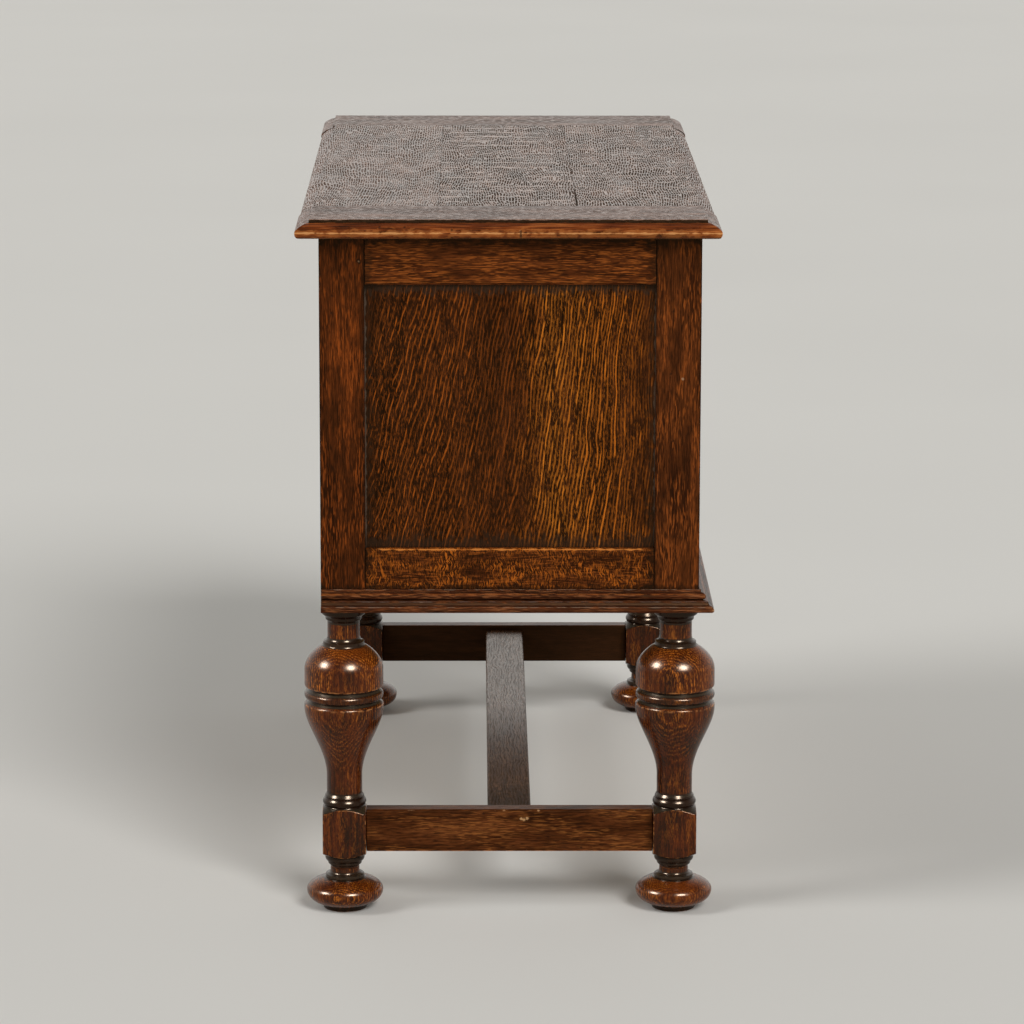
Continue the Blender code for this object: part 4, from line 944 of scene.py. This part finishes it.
def plain_oak(top, way):
    """Adds the open pores of a plainer board, drawn out along it, and its moulded edge."""
    def figure(tree, grain, colour, rough):
        pore = node(tree, "Math", {0: open_pores(tree, grain, 16), 1: 0.8}, operation="MULTIPLY")
        band = dashes(tree, grain, 7, 60, 0.42, 0.60)
        colour = painted(tree, colour, "#1C0D06", pore)
        rough = node(tree, "Math", {0: pore, 1: 0.45, 2: rough}, operation="MULTIPLY_ADD")
        rough = node(tree, "Math", {0: band, 1: 0.05, 2: rough}, operation="MULTIPLY_ADD")
        return moulded_edge(tree, grain, colour, top, way), rough

    return figure


for index, end in enumerate(("left", "right")):
    piece = "lid_cleat_" + end
    low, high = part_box(piece)
    way = 1 if end == "left" else -1
    nose = low.x if way > 0 else high.x
    marks = edge_marks(CLEAT_WEAR_LIGHT_AND_SHADE, "Y", (nose, 0), (nose + way * LID_EDGE, 0), low, high)
    if end == "right":
        marks += notch_marks(low.y, 1, high.z) + notch_marks(high.y, -1, high.z)
    figure = plain_oak(high.z, (-way, 0, 0))
    underside = ((0, 0, -1), -low.z - UNDERSIDE_SKIN)
    dress_in_oak(
        piece, "Y", "X", (0.4 * index, 0.8, 2.7), CLEAT_TONES, figure, marks, (underside,),
        gloss=0.22, level=0.37, ease=CRISP
    )


# Hinges: a pair of steel butts under the back overhang of the lid, dull with age. Three countersunk screws
# hold each leaf, one leaf to the top back rail and one to the lid.
def old_steel(name):
    """Drawn mild steel: grey, with a haze of brown oxide that dulls its gloss in patches."""
    material, tree, shader = new_finish(name)
    spot = node(tree, "TexCoord").outputs["Object"]
    haze = streaks(tree, spot, 9, 9, 4.0)
    colour = node(tree, "ValToRGB", {0: haze}, stops=((0.42, "#7D7A76"), (0.66, "#5A4537")))
    rough = node(tree, "MapRange", {0: haze, 1: 0.4, 2: 0.65, 3: 0.38, 4: 0.62})
    bump = node(tree, "Bump", {"Strength": 0.2, "Distance": 0.0001, "Height": haze})
    coat(tree, shader, {"Base Color": colour, "Roughness": rough, "Normal": bump, "Metallic": 1.0})
    return material


SCREW_SPACING = 0.02133
SCREW_OFF_AXIS = 0.010
LEAF_FACE = 0.0017
HEAD_RADIUS = 0.0028
HEAD_DEPTH = 0.0012
SLOT = 0.0005
SLOT_DEPTH = 0.0006


def screw_heads(name, places, down_leaf, outward):
    """Countersunk heads flush with a leaf: a cone each, under two half-rounds that leave a slot between."""
    sides = 24
    angles = [2 * math.pi * side / sides for side in range(sides)]
    circle = [(HEAD_RADIUS * math.cos(angle), HEAD_RADIUS * math.sin(angle)) for angle in angles]
    made = bmesh.new()
    for turn, place in enumerate(places):
        spin = Matrix.Rotation(0.6 + 1.9 * turn, 3, outward)
        first = spin @ down_leaf
        second = outward.cross(first)
        halves = []
        for way in (1, -1):
            arc = [(u, way * max(v, SLOT / 2)) for u, v in circle[:sides // 2 + 1]]
            halves.append((arc, arc, -0.0001, -SLOT_DEPTH))
        foot = [(0.5 * u, 0.5 * v) for u, v in circle]
        for upper, lower, high, low in halves + [(circle, foot, -SLOT_DEPTH, -HEAD_DEPTH)]:
            rims = []
            for rim, level in ((upper, high), (lower, low)):
                sunk = place + outward * level
                rims.append([made.verts.new(sunk + first * u + second * v) for u, v in rim])
            count = len(rims[0])
            made.faces.new(rims[0])
            made.faces.new(rims[1][::-1])
            for step in range(count):
                after = (step + 1) % count
                made.faces.new((rims[0][step], rims[1][step], rims[1][after], rims[0][after]))
    bmesh.ops.recalc_face_normals(made, faces=made.faces)
    return drawn(name, made)


steel = old_steel("aged_mild_steel")
for end in ("left", "right"):
    for part in ("body_leaf", "lid_leaf", "pin"):
        dress("hinge_" + end + "_" + part, steel, CRISP)
    low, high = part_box("hinge_" + end + "_pin")
    axis = (low + high) / 2
    for part, body, down_leaf, outward in (
        ("body_leaf", "chest", Vector((0, 0, -1)), Vector((0, 1, 0))),
        ("lid_leaf", "lid", Vector((0, 1, 0)), Vector((0, 0, -1))),
    ):
        middle = axis + SCREW_OFF_AXIS * down_leaf - LEAF_FACE * outward
        places = [middle + Vector((step * SCREW_SPACING, 0, 0)) for step in (-1, 0, 1)]
        screws = screw_heads("hinge_" + end + "_" + part + "_screws", places, down_leaf, outward)
        screws.data.materials.append(steel)
        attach(screws, body)


# Floor and light: a plain pale floor in a pale room with a dim ceiling, and two soft lamps in front of the
# shown end.
scene = bpy.context.scene


def soft_lamp(name, bearing, height, spread, strength, lights_matt=True):
    """A far lamp at a bearing from the camera's side of the chest, as wide in the sky as its spread."""
    lamp = bpy.data.lights.new(name, "SUN")
    lamp.energy = strength
    lamp.angle = math.radians(spread)
    obj = bpy.data.objects.new(name, lamp)
    bearing = math.radians(bearing)
    height = math.radians(height)
    level = Vector((-math.cos(bearing), -math.sin(bearing), 0))
    away = level * math.cos(height) + Vector((0, 0, math.sin(height)))
    obj.rotation_euler = away.to_track_quat("Z", "Y").to_euler()
    obj.visible_diffuse = lights_matt
    scene.collection.objects.link(obj)
    return obj


soft_lamp("key_light", 26, 38, 24, 1.9)
soft_lamp("fill_light", -72, 36, 24, 1.1)
# Two smaller lamps that only show as highlights in the polish of the turned and moulded pieces. They are
# kept off the flat ones, which would glare white towards the far corners.
polished = bpy.data.collections.new("turned_and_moulded")
for obj in scene.objects:
    if obj.name.startswith(("turned_", "base_moulding_")):
        polished.objects.link(obj)
key_highlight = soft_lamp("key_highlight", 26, 38, 19, 7.2, False)
fill_highlight = soft_lamp("fill_highlight", -72, 36, 18, 6.2, False)
key_highlight.light_linking.receiver_collection = polished
fill_highlight.light_linking.receiver_collection = polished

FLOOR_REACH = 40
FLOOR_DROP = 0.0003
floor_shape = bmesh.new()
bmesh.ops.create_grid(floor_shape, x_segments=1, y_segments=1, size=FLOOR_REACH)
floor = drawn("floor", floor_shape)
floor.location.z = -FLOOR_DROP
material, tree, shader = new_finish("pale_matt_floor")
cloud = streaks(tree, node(tree, "TexCoord").outputs["Object"], 900, 900, 2.0)
colour = node(tree, "ValToRGB", {0: cloud}, stops=((0.3, "#D6D4CF"), (0.7, "#D8D6D1")))
coat(tree, shader, {"Base Color": colour, "Roughness": 0.85, "Specular IOR Level": 0.1})
floor.data.materials.append(material)

world = bpy.data.worlds.new("soft_room")
world.use_nodes = True
scene.world = world
tree = world.node_tree
way = node(tree, "SeparateXYZ", {0: node(tree, "TexCoord").outputs["Generated"]}).outputs
# The wall behind the chest is brightest, the one behind the camera dimmer, and the ceiling dimmest
walls = node(tree, "MapRange", {0: way[0], 1: -0.6, 2: 0.6, 3: 0.42, 4: 0.98}, **SMOOTH)
low_down = node(tree, "MapRange", {0: way[2], 1: 0.82, 2: 0.30, 3: 0.12, 4: 1.0}, **SMOOTH)
room = tree.nodes["Background"].inputs
room["Color"].default_value = linear("#FFFEFA")
feed(tree, room["Strength"], node(tree, "Math", {0: walls, 1: low_down}, operation="MULTIPLY"))


# Camera: almost five metres from the left end and well above the lid, looking down along the chest through
# a long lens.
PITCH = math.radians(11.580)
YAW = math.radians(-0.492)
ROLL = math.radians(0.0945)
camera_data = bpy.data.cameras.new("camera")
camera_data.lens = 158.66
camera_data.sensor_width = 36
camera = bpy.data.objects.new("camera", camera_data)
forward = Vector((math.cos(PITCH) * math.cos(YAW), math.cos(PITCH) * math.sin(YAW), -math.sin(PITCH)))
level = forward.cross(Vector((0, 0, 1))).normalized()
right = level * math.cos(ROLL) + level.cross(forward) * math.sin(ROLL)
camera.matrix_world = Matrix((right, right.cross(forward), -forward)).transposed().to_4x4()
camera.location = (-5.18404, 0.0362, 1.41035)
scene.collection.objects.link(camera)
bpy.context.scene.camera = camera
scene.view_settings.view_transform = "Standard"
